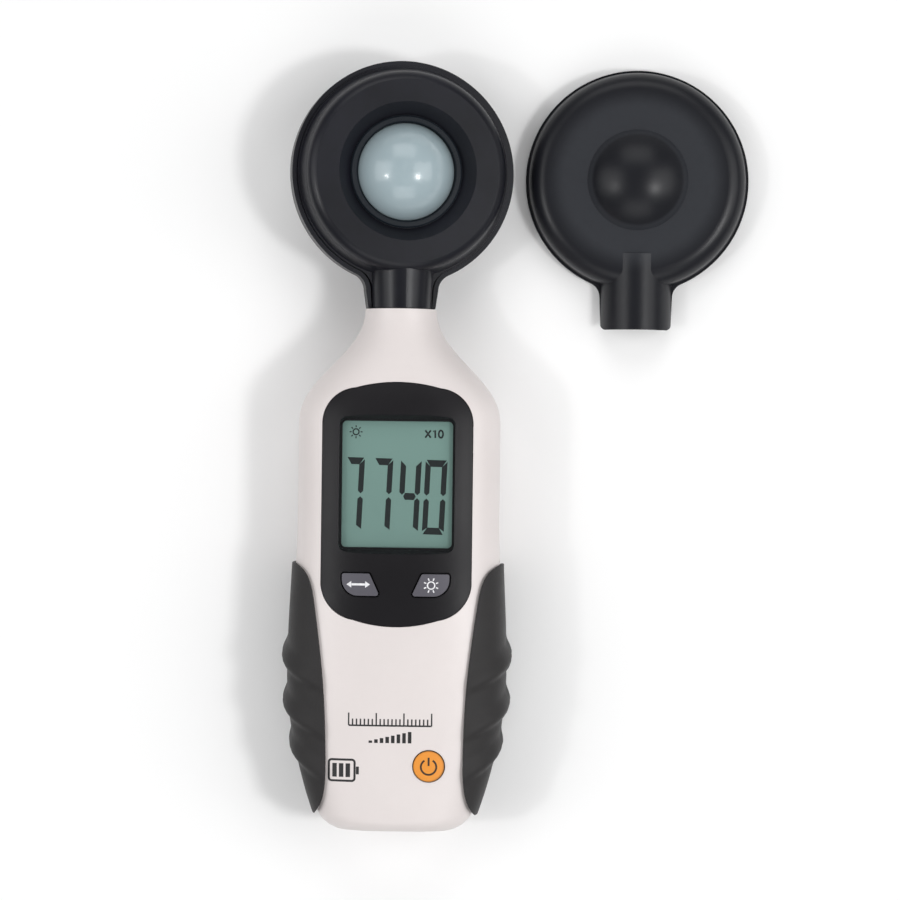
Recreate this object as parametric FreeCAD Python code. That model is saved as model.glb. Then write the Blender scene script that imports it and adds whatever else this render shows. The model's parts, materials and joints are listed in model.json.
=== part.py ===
"""Handheld light meter with a swivelling sensor head and a loose sensor cap.

The meter lies on its back.  +Z leaves the display face, +Y runs towards the sensor head and
+X is to the right of someone reading the display.  The origin is the mouth of the tripod
socket in the middle of the flat back.  All lengths are millimetres.
"""
import FreeCAD, Part
import math
import os

V = FreeCAD.Vector
os.makedirs("parts", exist_ok=True)

# ---------------------------------------------------------------- driving dimensions
PART_Z = 15.2            # parting plane of the case, and height of the neck axis
COLLAR_Y = 60.2          # end of the case collar, where the neck leaves it
END_Y = -72.8            # foot end of the case
COLLAR_R = 9.1           # round collar
BODY_W = 25.8            # half width beside the display
WAIST_W = 27.1           # half width at the widest point, under the grips
WAIST_Y = -32.0
TAPER = 0.0055           # how fast the sides draw in from there to the foot
BODY_TOP = 14.8          # height of the display face above the parting plane
BODY_BACK = 15.8         # depth of the back below it, before it is cut flat at z = 0
SHOULDER_TOP_Y, SHOULDER_Y = 62.0, 29.5      # the shoulder widens between these
WALL = 2.0               # case wall
GAP = 0.15               # gap between fitted mouldings
TOP_POWER = 2.9          # squareness of the front cross-section, 2 is an ellipse
BACK_POWER = 4.0
CORNER_R = 4.8           # plan radius of the foot corners
FOOT_TOP_R = 3.5         # round from the face to the foot end
FOOT_BACK_R = 6.0        # round from the back to the foot end
GRIP_SINK = 0.6          # depth of the grip recess
GRIP_PROUD = 1.0         # height of the grip above the case
GRIP_FOOT_Z = 2.4        # the grip stops here, on the rounded back corner
RIBS = [(-27.2, 1.35), (-39.4, 1.35), (-50.6, 1.2)]  # place and height of each finger rib on the side
RIB_TRAIL = 9.5          # how far a rib slants towards the foot on its way to the front
RIB_SPREAD = 42.0        # angle from the side at which it has died away
RIB_RISE, RIB_FALL = 4.6, 2.6        # its gentle flank and its steep one
RIB_STEP = 1.3           # spacing of the cross-sections that carry it
SEAM_W, SEAM_D = 0.3, 0.3            # groove where the two halves of the case meet

BEZEL_HALF = 19.0        # display bezel
BEZEL_TOP_Y = 41.3
BEZEL_FOOT_Y = -20.4
BEZEL_DEPTH = 2.3
WINDOW_W, WINDOW_H = 28.0, 32.0      # visible display
WINDOW_Y = 15.5
PANE_TOP_Z = 28.65
PANE_T = 1.0
LEDGE = 0.55             # step that carries the pane
SCOOP_SIDE, SCOOP_END, SCOOP_H = 0.25, 1.2, 1.7      # how far the bezel opens out above the pane
LCD_TOP, LCD_T = 26.8, 2.7           # display cell
LCD_HALF_X, LCD_HALF_Y = 15.3, 18.8

KEY_X, KEY_Y = 8.95, -9.85           # centres of the two small keys
KEY_GAP = 0.4            # groove round each of them
KEY_FLANGE = 0.85        # and the flange that holds it in, wider than the key
POWER_X, POWER_Y, POWER_R = 8.85, -55.7, 3.9

BOARD_Z, BOARD_T = 16.6, 1.6
BOARD_TOP = BOARD_Z + BOARD_T
SWITCH_H = 3.4

CELL_R, CELL_L = 5.25, 44.5          # AAA cell
CELL_PITCH = 10.7
CELL_Z = 7.9
CELL_FOOT_Y = -66.6
CELL_TOP_Y = CELL_FOOT_Y + CELL_L
BAY_HALF = 16.4
BAY_FOOT_Y, BAY_TOP_Y = -69.6, -18.6
BAY_ROOF_Z = 13.7
BAY_SILL_Z = 3.0         # beside the door the bay starts at this height
DOOR_HALF = 15.8
RUNNER_FOOT_Y = -63.0    # the runners of the door end here
DOOR_T = 1.8
DOOR_END_Z = 7.0
DOOR_TOP_Y = -16.0

HEAD_Y = 95.2            # centre of the round head
HEAD_R = 28.7            # outer edge of the head
HEAD_TURN = 11.0         # the head is left turned this far, in degrees, about the neck's axis
HEAD_FLANGE = 1.3        # the step the cap sits on
FLANGE_TOP = 1.2         # step height above the parting plane
FACE_R, FACE_H = 23.4, 9.0           # front face of the head above the parting plane
HEAD_BACK_H = 10.5
SKIN = 1.6               # wall of the head mouldings
RECESS_R, SEAT_R = 17.7, 14.5        # conical recess round the dome, and its flat floor
RECESS_H = 5.6           # height of the recess floor above the parting plane
DOME_R, DOME_H = 12.4, 9.4
NECK_FOOT_Y = COLLAR_Y + 0.25
NECK_TOP_R, NECK_FOOT_R = 9.35, 8.65         # neck
RIDGE_TOP_R, RIDGE_FOOT_R = 8.5, 7.6         # and the round ridge along its front
SPIGOT_R, SPIGOT_FLANGE_R = 6.6, 7.6
STOP_R, STOP_HALF = 8.5, 0.9         # lug on the spigot's flange that ends the swivel's travel

CAP_X, CAP_Y = 60.4, 94.6            # where the loose cap lies
CAP_R, CAP_WALL = 28.9, 1.2
CAP_FACE_R, CAP_FACE_H = 23.4, 9.6   # plateau of the cap
CAP_DOME_R, CAP_DOME_H = 13.0, 6.1
CAP_NECK_HALF, CAP_NECK_H = 9.4, 10.4
CAP_NECK_END = 38.6                  # from the cap's centre
CAP_RIDGE_START = 18.9

CASE_SCREWS = [(19.5, 27.0), (20.9, -40.0)]      # mirrored left and right
BOARD_SCREWS = [(7.0, 45.3), (13.0, -24.2)]      # mirrored left and right
SOCKET_R, SOCKET_L = 3.175, 8.0      # quarter-inch tripod thread at its major radius
SENSOR_BOARD_Z = 13.0
SPOKES = [math.radians(a) for a in (90, 215, 325)]   # bearings of the head's screws and posts
SENSOR_POSTS = [(12.5 * math.cos(a), HEAD_Y + 12.5 * math.sin(a)) for a in SPOKES]
HEAD_SCREWS = [(21.0 * math.cos(a), HEAD_Y + 21.0 * math.sin(a)) for a in SPOKES]
DOME_Z = PART_Z + RECESS_H


# ---------------------------------------------------------------- small helpers
def save(shape, node):
    """Writes one node."""
    shape.exportStep("parts/%s.step" % node)
    print("%-20s %9.1f mm3  %d solid(s) %s" % (node, shape.Volume, len(shape.Solids), shape.isValid()))


def box(x0, x1, y0, y1, z0, z1):
    return Part.makeBox(x1 - x0, y1 - y0, z1 - z0, V(x0, y0, z0))


def rod(r, x, y, z0, z1):
    """Upright cylinder."""
    return Part.makeCylinder(r, z1 - z0, V(x, y, z0))


def shaft(r, y0, y1, z=PART_Z, x=0.0):
    """Cylinder along Y."""
    return Part.makeCylinder(r, y1 - y0, V(x, y0, z), V(0, 1, 0))


def ring(r_out, r_in, x, y, z0, z1):
    return rod(r_out, x, y, z0, z1).cut(rod(r_in, x, y, z0 - 1, z1 + 1))


def mirror_x(shape):
    return shape.mirror(V(0, 0, 0), V(1, 0, 0))


def both_sides(shapes):
    """The shapes and their mirror images, as separate solids."""
    return Part.makeCompound(shapes + [mirror_x(s) for s in shapes])


def clean(shape):
    """Joins neighbouring faces that lie on one surface, where the shape allows it."""
    try:
        return shape.removeSplitter()
    except Part.OCCError:
        return shape


def fuse_all(shapes):
    return shapes[0].multiFuse(shapes[1:]) if len(shapes) > 1 else shapes[0]


def cut_all(shape, cutters):
    """Cuts one thing after another."""
    for cutter in cutters:
        shape = shape.cut(cutter)
    return shape


def prism(wire, z0, z1):
    """A flat closed wire drawn at z = 0, extruded from z0 to z1."""
    face = Part.Face(wire)
    face.translate(V(0, 0, z0))
    return face.extrude(V(0, 0, z1 - z0))


def rounded_box(half_x, half_y, r, cx, cy, z0, z1):
    """Box with rounded upright corners."""
    block = box(cx - half_x, cx + half_x, cy - half_y, cy + half_y, z0, z1)
    upright = [e for e in block.Edges if abs(e.Vertexes[0].Z - e.Vertexes[1].Z) > (z1 - z0) / 2]
    return block.makeFillet(r, upright)


def revolve(points_and_arcs, x, y):
    """Solid of revolution about the upright line through (x, y).  The profile is a list of edges in XZ."""
    wire = Part.Wire(points_and_arcs)
    face = Part.Face(wire)
    face.translate(V(x, y, 0))
    return face.revolve(V(x, y, 0), V(0, 0, 1), 360)


def line(a, b):
    return Part.makeLine(V(a[0], 0, a[1]), V(b[0], 0, b[1]))


def arc(a, mid, b):
    return Part.Arc(V(a[0], 0, a[1]), V(mid[0], 0, mid[1]), V(b[0], 0, b[1])).toShape()


def smoothstep(t):
    t = min(1.0, max(0.0, t))
    return t * t * (3 - 2 * t)


def smootherstep(t):
    t = min(1.0, max(0.0, t))
    return t * t * t * (t * (6 * t - 15) + 10)


def round_off(y, radius):
    """How far a surface has turned inwards at y, on its round of that radius at the foot end."""
    t = min(1.0, max(0.0, (END_Y + radius - y) / radius))
    return radius * (1 - math.sqrt(1 - t * t))


# ---------------------------------------------------------------- the case's outer form
def shoulder(y):
    """0 at the collar, 1 where the body has its full section."""
    return smootherstep((SHOULDER_TOP_Y - y) / (SHOULDER_TOP_Y - SHOULDER_Y))


def half_width(y):
    if y < WAIST_Y:
        body = WAIST_W - TAPER * (y - WAIST_Y) ** 2
    else:
        body = WAIST_W - (WAIST_W - BODY_W) * smoothstep((y - WAIST_Y) / 40.0)
    return COLLAR_R + (body - COLLAR_R) * shoulder(y) - round_off(y, CORNER_R)


def top_height(y):
    body = BODY_TOP - (0.0009 * (y + 10) ** 2 if y < -10 else 0.0)
    return COLLAR_R + (body - COLLAR_R) * shoulder(y) - round_off(y, FOOT_TOP_R)


def back_depth(y):
    return COLLAR_R + (BODY_BACK - COLLAR_R) * shoulder(y) - round_off(y, FOOT_BACK_R)


def section_radius(theta, half, height, power):
    """Polar radius of a superellipse with those half axes."""
    c, s = abs(math.cos(theta)) / half, abs(math.sin(theta)) / height
    return (c ** power + s ** power) ** (-1.0 / power)


def stations(first_y):
    """Y places of the cross-sections, close together on the rounds of the foot."""
    plain = [first_y, -45.0, -52.0, -58.0, -62.5, -65.5]
    plain += [y for y in (59.5, 57.0, 54.5, 52.0, 49.0, 46.0, 43.0, 40.0, 37.0, 34.0, 30.0,
                          25.0, 17.0, 8.0, 0.0, -8.0, -17.0, -26.0, -35.0) if y < first_y - 0.8]
    foot = [END_Y + CORNER_R * (1 - math.sin(math.radians(a))) for a in (5, 20, 35, 48, 60, 70, 79, 86, 90)]
    return sorted(plain + foot, reverse=True)


def no_relief(y, angle):
    return 0.0


def finger_ribs(y, angle):
    """Height of the grips' ribs: they cross the side and trail towards the foot on the front and the back."""
    away = abs(angle) / RIB_SPREAD
    if away >= 1:
        return 0.0
    height = 0.0
    for rib_y, rib_h in RIBS:
        t = y - (rib_y - RIB_TRAIL * away)
        t /= RIB_RISE if t > 0 else RIB_FALL
        if abs(t) < 1:
            height += rib_h * (1 - t * t) ** 2
    return height * (1 - away * away)


def section(y, grow, start, stop, steps, relief=no_relief):
    """Points of one cross-section from angle start to stop; the back has the angles over 180 degrees."""
    place_y = y - grow * smoothstep((-55 - y) / 12)
    row = []
    for i in range(steps + 1):
        angle = start + (stop - start) * i / steps
        out = grow + relief(y, angle)
        front = math.sin(math.radians(angle)) >= 0
        power = 2 + ((TOP_POWER if front else BACK_POWER) - 2) * shoulder(y)
        height = (top_height(y) if front else back_depth(y)) + out
        theta = math.radians(angle)
        r = section_radius(theta, half_width(y) + out, height, power)
        across = 0.0 if angle % 180 == 90 else r * math.cos(theta)
        up = 0.0 if angle % 180 == 0 else r * math.sin(theta)
        row.append(V(across, place_y, PART_Z + up))
    return row


def closed_skin(rows):
    """Solid under a smooth skin through the rows, with flat faces at both ends and along its open side."""
    surface = Part.BSplineSurface()
    surface.interpolate(rows)
    skin = surface.toShape()

    def edge_between(p, q):
        for e in skin.Edges:
            s, t = e.Vertexes[0].Point, e.Vertexes[-1].Point
            if min((s - p).Length + (t - q).Length, (s - q).Length + (t - p).Length) < 1e-6:
                return e
        raise ValueError("the skin has no such edge")

    a, b, c, d = rows[0][0], rows[0][-1], rows[-1][-1], rows[-1][0]
    chord_top, chord_foot = Part.makeLine(a, b), Part.makeLine(d, c)
    outlines = [[edge_between(a, b), chord_top], [edge_between(d, c), chord_foot],
                [edge_between(a, d), chord_foot, edge_between(b, c), chord_top]]
    faces = [skin] + [Part.Face(Part.Wire(Part.__sortEdges__(edges))) for edges in outlines]
    shell = Part.makeShell(faces)
    shell.sewShape()
    solid = Part.makeSolid(shell)
    if solid.Volume < 0:
        solid.reverse()
    return solid


def half_body(grow, front, first_y=COLLAR_Y):
    """Solid half of the case form, front or back of the parting plane, grown by that much all round."""
    start, stop = (0, 180) if front else (180, 360)
    return closed_skin([section(y, grow, start, stop, 28) for y in stations(first_y)])


def right_body(grow):
    """Solid right half of the case form, front and back together, grown by that much all round."""
    return closed_skin([section(y, grow, -90, 90, 28) for y in stations(COLLAR_Y)])


def ribbed_body(grow):
    """The same, from above the grips down, with the finger ribs on it."""
    places = [1.0 - RIB_STEP * i for i in range(int(64.0 / RIB_STEP))]
    places += [y for y in stations(COLLAR_Y) if y < places[-1] - 1.0]
    return closed_skin([section(y, grow, -90, 90, 44, finger_ribs) for y in places])


def flat_cut(shape, z):
    """Cuts away what lies below z."""
    return shape.cut(box(-80, 80, -120, 120, z - 60, z))


FRONT_OUT = half_body(0.0, True)
BACK_OUT = flat_cut(half_body(0.0, False), 0.0)
FRONT_IN = half_body(-WALL, True, 52.4)
BACK_IN = flat_cut(half_body(-WALL, False, 52.4), WALL)


# ---------------------------------------------------------------- flat outlines
def bezel_wire(grow=0.0):
    """Outline of the display bezel: crowned ends, rounded corners and straight sides."""
    half = BEZEL_HALF + grow
    top, foot = BEZEL_TOP_Y + grow, BEZEL_FOOT_Y - grow
    side_top, side_foot = 30.5, -10.0
    crown_x, crown_drop, crown_rise = 10.8, 1.5, 1.7
    pts = {
        "rt": V(half, side_top, 0), "rb": V(half, side_foot, 0),
        "lt": V(-half, side_top, 0), "lb": V(-half, side_foot, 0),
        "tr": V(crown_x, top - crown_drop, 0), "tl": V(-crown_x, top - crown_drop, 0),
        "br": V(crown_x, foot + crown_rise, 0), "bl": V(-crown_x, foot + crown_rise, 0),
    }
    top_corner = V(half - 1.9, top - 5.0, 0)
    foot_corner = V(half - 2.1, foot + 5.3, 0)

    def flip(p):
        return V(-p.x, p.y, 0)

    edges = [
        Part.makeLine(pts["rb"], pts["rt"]),
        Part.Arc(pts["rt"], top_corner, pts["tr"]).toShape(),
        Part.Arc(pts["tr"], V(0, top, 0), pts["tl"]).toShape(),
        Part.Arc(pts["tl"], flip(top_corner), pts["lt"]).toShape(),
        Part.makeLine(pts["lt"], pts["lb"]),
        Part.Arc(pts["lb"], flip(foot_corner), pts["bl"]).toShape(),
        Part.Arc(pts["bl"], V(0, foot, 0), pts["br"]).toShape(),
        Part.Arc(pts["br"], foot_corner, pts["rb"]).toShape(),
    ]
    return Part.Wire(edges)


def key_wire(grow=0.0):
    """Fin-shaped outline of the left key about its own centre; the right key is its mirror image."""
    p = [V(-4.62, 2.3, 0), V(-4.1, 2.8, 0), V(2.0, 2.8, 0), V(2.45, 2.5, 0), V(4.5, -1.9, 0),
         V(4.0, -2.8, 0), V(-0.5, -2.8, 0), V(-4.62, 1.2, 0)]
    edges = [
        Part.Arc(p[0], V(-4.47, 2.65, 0), p[1]).toShape(),
        Part.makeLine(p[1], p[2]),
        Part.Arc(p[2], V(2.27, 2.71, 0), p[3]).toShape(),
        Part.makeLine(p[3], p[4]),
        Part.Arc(p[4], V(4.5, -2.5, 0), p[5]).toShape(),
        Part.makeLine(p[5], p[6]),
        Part.Arc(p[6], V(-3.45, -1.55, 0), p[7]).toShape(),
        Part.makeLine(p[7], p[0]),
    ]
    wire = Part.Wire(edges)
    return wire.makeOffset2D(grow, join=0) if grow else wire


def key_prism(grow, z0, z1, side):
    """The key outline as an upright prism in place: side -1 is the left key, 1 the right one."""
    solid = prism(key_wire(grow), z0, z1)
    solid.translate(V(-KEY_X, KEY_Y, 0))
    return solid if side < 0 else mirror_x(solid)


def grip_wire(grow=0.0):
    """Plan outline of the right grip.  Its inner edge is one smooth curve across the case."""
    inner = [V(26.4, -4.7, 0), V(22.9, -7.4, 0), V(20.7, -14.6, 0), V(19.1, -26.1, 0), V(17.8, -40.0, 0),
             V(17.4, -52.0, 0), V(17.5, -60.0, 0), V(18.3, -64.8, 0), V(20.4, -68.7, 0)]
    inner = [V(p.x - grow, p.y, 0) for p in inner]
    inner[0].y += grow
    inner[-1].y -= grow
    curve = Part.BSplineCurve()
    curve.interpolate(inner)
    far = 45.0
    a, b = V(far, inner[-1].y, 0), V(far, inner[0].y, 0)
    straight = [Part.makeLine(p, q) for p, q in ((inner[-1], a), (a, b), (b, inner[0]))]
    return Part.Wire([curve.toShape()] + straight)


# ---------------------------------------------------------------- shells of the case
def neck_bore():
    """What the collar is bored out to: the spigot's bearing, the pocket for its flange, the lead's way and
    the stop groove, which runs three quarters of the way round."""
    groove = shaft(STOP_R + 0.2, 54.45, 56.1)
    groove = groove.cut(box(STOP_HALF + 0.1, 12, 50, 60, PART_Z + STOP_HALF + 0.1, 40))
    return fuse_all([shaft(SPIGOT_R + 0.06, 56.3, 63.0), shaft(SPIGOT_FLANGE_R + 0.3, 53.5, 56.3),
                     shaft(3.5, 50.0, 53.5), groove])


def grip_recess():
    """Both grip recesses, as one cutter for the case."""
    cutter = prism(grip_wire(0.0), GRIP_FOOT_Z, 40).cut(right_body(-GRIP_SINK))
    return Part.makeCompound([cutter, mirror_x(cutter)])


RECESS = grip_recess()
BORE = neck_bore()


def front_case():
    shell = FRONT_OUT.cut(FRONT_IN)
    posts = []
    for x, y in CASE_SCREWS:
        post = rod(3.0, x, y, PART_Z + 0.3, 40)
        posts += [post, mirror_x(post)]
    for x, y in BOARD_SCREWS:
        post = rod(2.0, x, y, BOARD_TOP, 40)
        posts += [post, mirror_x(post)]
    guide = ring(POWER_R + 1.5, POWER_R + 0.25, POWER_X, POWER_Y, 25.1, 40)
    stiffener = fuse_all([box(-14.5, 14.5, y, y + 1.2, 23.0, 40) for y in (-33.0, -43.0)])
    ribs = fuse_all(posts + [guide, stiffener]).common(half_body(-WALL / 2, True, 52.4))
    shell = shell.fuse(ribs)
    cutters = [prism(bezel_wire(GAP), 20, 45), rod(POWER_R + 0.25, POWER_X, POWER_Y, 20, 45), BORE, RECESS]
    for x, y in CASE_SCREWS:
        cutters += [rod(1.45, x, y, 10, 24), rod(1.45, -x, y, 10, 24)]
    for x, y in BOARD_SCREWS:
        cutters += [rod(0.95, x, y, 15, 24), rod(0.95, -x, y, 15, 24)]
    return cut_all(shell, cutters)


def door_slot():
    """What the battery door needs from the back: its opening, its two grooves and the open foot end."""
    opening = box(-DOOR_HALF - 0.2, DOOR_HALF + 0.2, -90, DOOR_TOP_Y + 0.2, -1, DOOR_END_Z + 0.2)
    keep = box(-60, 60, BAY_FOOT_Y + 0.9, 60, DOOR_T + 0.35, 40)
    opening = opening.cut(keep)
    grooves = box(-DOOR_HALF - 1.1, DOOR_HALF + 1.1, -90, DOOR_TOP_Y - 1.0, 1.05, 2.25)
    return fuse_all([opening, grooves])


def rear_case():
    shell = BACK_OUT.cut(BACK_IN)
    door_way = box(-DOOR_HALF - 0.2, DOOR_HALF + 0.2, BAY_FOOT_Y, BAY_TOP_Y, -1, BAY_SILL_Z + 0.1)
    bay = box(-BAY_HALF, BAY_HALF, BAY_FOOT_Y, BAY_TOP_Y, BAY_SILL_Z, BAY_ROOF_Z)
    bay = bay.common(half_body(-0.9, False))
    bay_walls = box(-BAY_HALF - 1.4, BAY_HALF + 1.4, BAY_FOOT_Y - 2.5, BAY_TOP_Y + 1.2, 0, BAY_ROOF_Z + 1.0)
    bosses = [rod(7.2, 0, 0, 0, SOCKET_L + 2.0)]
    for x, y in CASE_SCREWS:
        boss = rod(4.2, x, y, 0, PART_Z - 0.2)
        bosses += [boss, mirror_x(boss)]
    inside = fuse_all([bay_walls] + bosses).common(flat_cut(half_body(-WALL / 2, False, 52.4), WALL / 2))
    shell = shell.fuse(inside)
    dividers = [box(s - 0.3, s + 0.3, -60, -30, 10.5, BAY_ROOF_Z) for s in (-CELL_PITCH / 2, CELL_PITCH / 2)]
    shell = cut_all(shell, [bay, door_way]).fuse(fuse_all(dividers))
    cutters = [BORE, RECESS, door_slot(), rod(5.05, 0, 0, -1, SOCKET_L + 0.35), rod(6.2, 0, 0, -1, 1.25),
               rounded_box(14.2, 8.2, 1.5, 0, 20.0, -1, 0.35)]
    seam = box(-60, 60, -90, COLLAR_Y - 0.8, PART_Z - SEAM_W, PART_Z).cut(half_body(-SEAM_D, False))
    cutters.append(seam)
    for x, y in CASE_SCREWS:
        cutters += [rod(3.1, s * x, y, -1, 7.0) for s in (-1, 1)]
        cutters += [rod(1.6, s * x, y, -1, 20) for s in (-1, 1)]
    return clean(cut_all(shell, cutters))


def battery_door():
    """Sliding door: a plate with a turned-up end, a runner along each side and thumb ridges."""
    form = BACK_OUT.common(box(-DOOR_HALF, DOOR_HALF, -90, DOOR_TOP_Y, 0.25, DOOR_END_Z))
    hollow = box(-40, 40, BAY_FOOT_Y - 1.1, 0, DOOR_T, 20)
    plate = form.cut(hollow)
    runner = box(DOOR_HALF - 1.2, DOOR_HALF + 0.8, RUNNER_FOOT_Y, DOOR_TOP_Y - 1.4, 1.2, 2.1)
    door = plate.fuse(runner).fuse(mirror_x(runner))
    ridges = [box(-6.5 + i, 6.5 - i, -23.6 - 1.8 * i, -22.8 - 1.8 * i, 0.0, 0.65) for i in range(5)]
    return clean(door.cut(fuse_all(ridges)))


# ---------------------------------------------------------------- grips
def grip():
    """Right rubber grip, lapping from the front round to the back, with three slanting finger ribs."""
    zone = prism(grip_wire(-0.08), GRIP_FOOT_Z + 0.08, 40)
    return clean(ribbed_body(GRIP_PROUD).common(zone).cut(right_body(-GRIP_SINK + 0.05)))


# ---------------------------------------------------------------- display
def window_wire(wider, taller, z):
    """Rounded outline of the window, grown by those amounts, at height z."""
    block = rounded_box(WINDOW_W / 2 + wider, WINDOW_H / 2 + taller, 1.7, 0, WINDOW_Y, z, z + 1)
    return [f for f in block.Faces if f.BoundBox.ZMax < z + 0.01][0].OuterWire


def display_bezel():
    crowned = half_body(0.15, True).cut(half_body(-BEZEL_DEPTH, True, 52.4))
    plate = crowned.common(prism(bezel_wire(), 20, 45))
    lip = half_body(-WALL - GAP, True, 52.4).cut(half_body(-WALL - 1.3, True, 52.4))
    lip = lip.common(prism(bezel_wire(1.4), 20, 45)).cut(prism(bezel_wire(-1.4), 15, 45))
    upper_x, upper_y = CASE_SCREWS[0]
    lip = lip.cut(fuse_all([rod(3.4, s * upper_x, upper_y, 15, 45) for s in (-1, 1)]))
    tray = rounded_box(WINDOW_W / 2 + 2.2, WINDOW_H / 2 + 2.2, 2.0, 0, WINDOW_Y, 26.9, 28.25)
    solid = fuse_all([plate, lip, tray])
    half_w, half_h = WINDOW_W / 2, WINDOW_H / 2
    pocket = rounded_box(half_w + LEDGE, half_h + LEDGE, 1.7, 0, WINDOW_Y, PANE_TOP_Z - PANE_T, 40)
    window = rounded_box(half_w, half_h, 1.2, 0, WINDOW_Y, 20, 40)
    pane_edge = window_wire(LEDGE, LEDGE, PANE_TOP_Z - 0.1)
    scoop_edge = window_wire(LEDGE + SCOOP_SIDE, LEDGE + SCOOP_END, PANE_TOP_Z + SCOOP_H)
    scoop = Part.makeLoft([pane_edge, scoop_edge], True, True)
    keys = [key_prism(KEY_GAP, 20, 45, s) for s in (-1, 1)]
    keys += [key_prism(KEY_FLANGE + 0.4, 20, 26.9, s) for s in (-1, 1)]
    stack = box(-LCD_HALF_X - 1.2, LCD_HALF_X + 1.2, WINDOW_Y - LCD_HALF_Y - 1.4, WINDOW_Y + LCD_HALF_Y + 1.4,
                15, LCD_TOP + 0.1)
    return clean(cut_all(solid, [stack, pocket, window, scoop] + keys))


def lcd_window():
    return rounded_box(WINDOW_W / 2 + LEDGE - 0.08, WINDOW_H / 2 + LEDGE - 0.08, 1.6, 0, WINDOW_Y,
                       PANE_TOP_Z - PANE_T, PANE_TOP_Z)


def lcd_glass():
    """Two bonded plates: the lower one is longer at the foot, where its contacts are."""
    foot, head, joint = WINDOW_Y - LCD_HALF_Y, WINDOW_Y + LCD_HALF_Y, LCD_TOP - LCD_T / 2
    upper = box(-LCD_HALF_X, LCD_HALF_X, foot + 2.4, head, joint, LCD_TOP)
    lower = box(-LCD_HALF_X, LCD_HALF_X, foot, head, LCD_TOP - LCD_T, joint)
    return clean(upper.fuse(lower))


def backlight_panel():
    z1 = LCD_TOP - LCD_T
    return box(-LCD_HALF_X, LCD_HALF_X, WINDOW_Y - LCD_HALF_Y + 3.4, WINDOW_Y + LCD_HALF_Y, z1 - 2.2, z1)


def contact_strip():
    """Elastomer strip between the board and the contact edge of the display."""
    y0 = WINDOW_Y - LCD_HALF_Y
    return box(-LCD_HALF_X + 0.6, LCD_HALF_X - 0.6, y0 + 0.3, y0 + 2.6, BOARD_TOP, LCD_TOP - LCD_T)


def display_frame():
    """Open frame that locates the display stack on the board."""
    hx, hy = LCD_HALF_X + 0.15, LCD_HALF_Y + 0.15
    z1 = LCD_TOP - 0.6
    outer = box(-hx - 0.75, hx + 0.75, WINDOW_Y - hy - 1.0, WINDOW_Y + hy + 1.0, BOARD_TOP, z1)
    inner = box(-hx, hx, WINDOW_Y - hy, WINDOW_Y + hy, BOARD_TOP - 1, z1 + 1)
    panel_foot = LCD_TOP - LCD_T - 2.25
    shelf = box(-hx, hx, WINDOW_Y - LCD_HALF_Y + 3.6, WINDOW_Y + hy, panel_foot - 1.05, panel_foot)
    shelf = shelf.cut(box(-hx + 3, hx - 3, WINDOW_Y - 10, WINDOW_Y + hy - 3, 10, 40))
    return clean(outer.cut(inner).fuse(shelf))


# ---------------------------------------------------------------- keys and their switches
def small_key(side):
    crown = key_prism(0.0, 26.0, 45, side).common(half_body(0.75, True))
    flange = key_prism(KEY_FLANGE, 25.7, 26.6, side)
    stem = rod(1.8, side * KEY_X, KEY_Y, BOARD_TOP + SWITCH_H + 1.0, 26.0)
    return clean(fuse_all([crown, flange, stem]))


def power_key():
    crown = rod(POWER_R, POWER_X, POWER_Y, 23.8, 45).common(half_body(0.45, True))
    flange = rod(POWER_R + 0.9, POWER_X, POWER_Y, 23.8, 24.8)
    stem = rod(1.8, POWER_X, POWER_Y, BOARD_TOP + SWITCH_H + 1.0, 24.0)
    return clean(fuse_all([crown, flange, stem]))


SWITCHES = {"mode": (-KEY_X, KEY_Y), "backlight": (KEY_X, KEY_Y), "power": (POWER_X, POWER_Y)}


def switch_base(x, y):
    base = box(x - 3, x + 3, y - 3, y + 3, BOARD_TOP, BOARD_TOP + SWITCH_H)
    return base.cut(rod(1.85, x, y, BOARD_TOP + SWITCH_H - 1.1, 40))


def plunger(x, y):
    top = BOARD_TOP + SWITCH_H
    return rod(1.7, x, y, top - 0.4, top + 1.0)


# ---------------------------------------------------------------- board and what is on it
def main_board():
    board = box(-16, 16, -61, 40, BOARD_Z, BOARD_TOP).fuse(box(-10.5, 10.5, 40, 48.2, BOARD_Z, BOARD_TOP))
    holes = [rod(1.05, s * x, y, 0, 40) for x, y in BOARD_SCREWS for s in (-1, 1)]
    return clean(board.cut(fuse_all(holes)))


def chip(x, y, sx, sy, h, below=True):
    """A packaged chip with a row of leads on each long side."""
    z0, z1 = (BOARD_Z - h, BOARD_Z) if below else (BOARD_TOP, BOARD_TOP + h)
    body = box(x - sx / 2, x + sx / 2, y - sy / 2, y + sy / 2, z0, z1)
    lead_z = (BOARD_Z - 0.35, BOARD_Z) if below else (BOARD_TOP, BOARD_TOP + 0.35)
    count = int((sy - 1.0) / 1.27)
    leads = []
    for i in range(count):
        ly = y + (i - (count - 1) / 2.0) * 1.27
        leads.append(box(x - sx / 2 - 0.9, x + sx / 2 + 0.9, ly - 0.2, ly + 0.2, *lead_z))
    return fuse_all([body] + leads)


def board_chips():
    """Amplifier and memory chips beside the processor, under the board."""
    return Part.makeCompound([chip(-10.5, 10.0, 4.0, 5.0, 1.5), chip(-10.5, 20.0, 4.0, 5.0, 1.5),
                              chip(11.0, 28.0, 3.0, 3.6, 1.2)])


def capacitors():
    """Upright can capacitors on the front of the board, below the keys."""
    cans = []
    for x, y in ((-6.0, -33.5), (-6.0, -40.5), (4.0, -37.5)):
        can = rod(2.5, x, y, BOARD_TOP, BOARD_TOP + 4.5)
        cans.append(can.cut(rod(2.0, x, y, BOARD_TOP + 4.3, 40)))
    return Part.makeCompound(cans)


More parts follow.
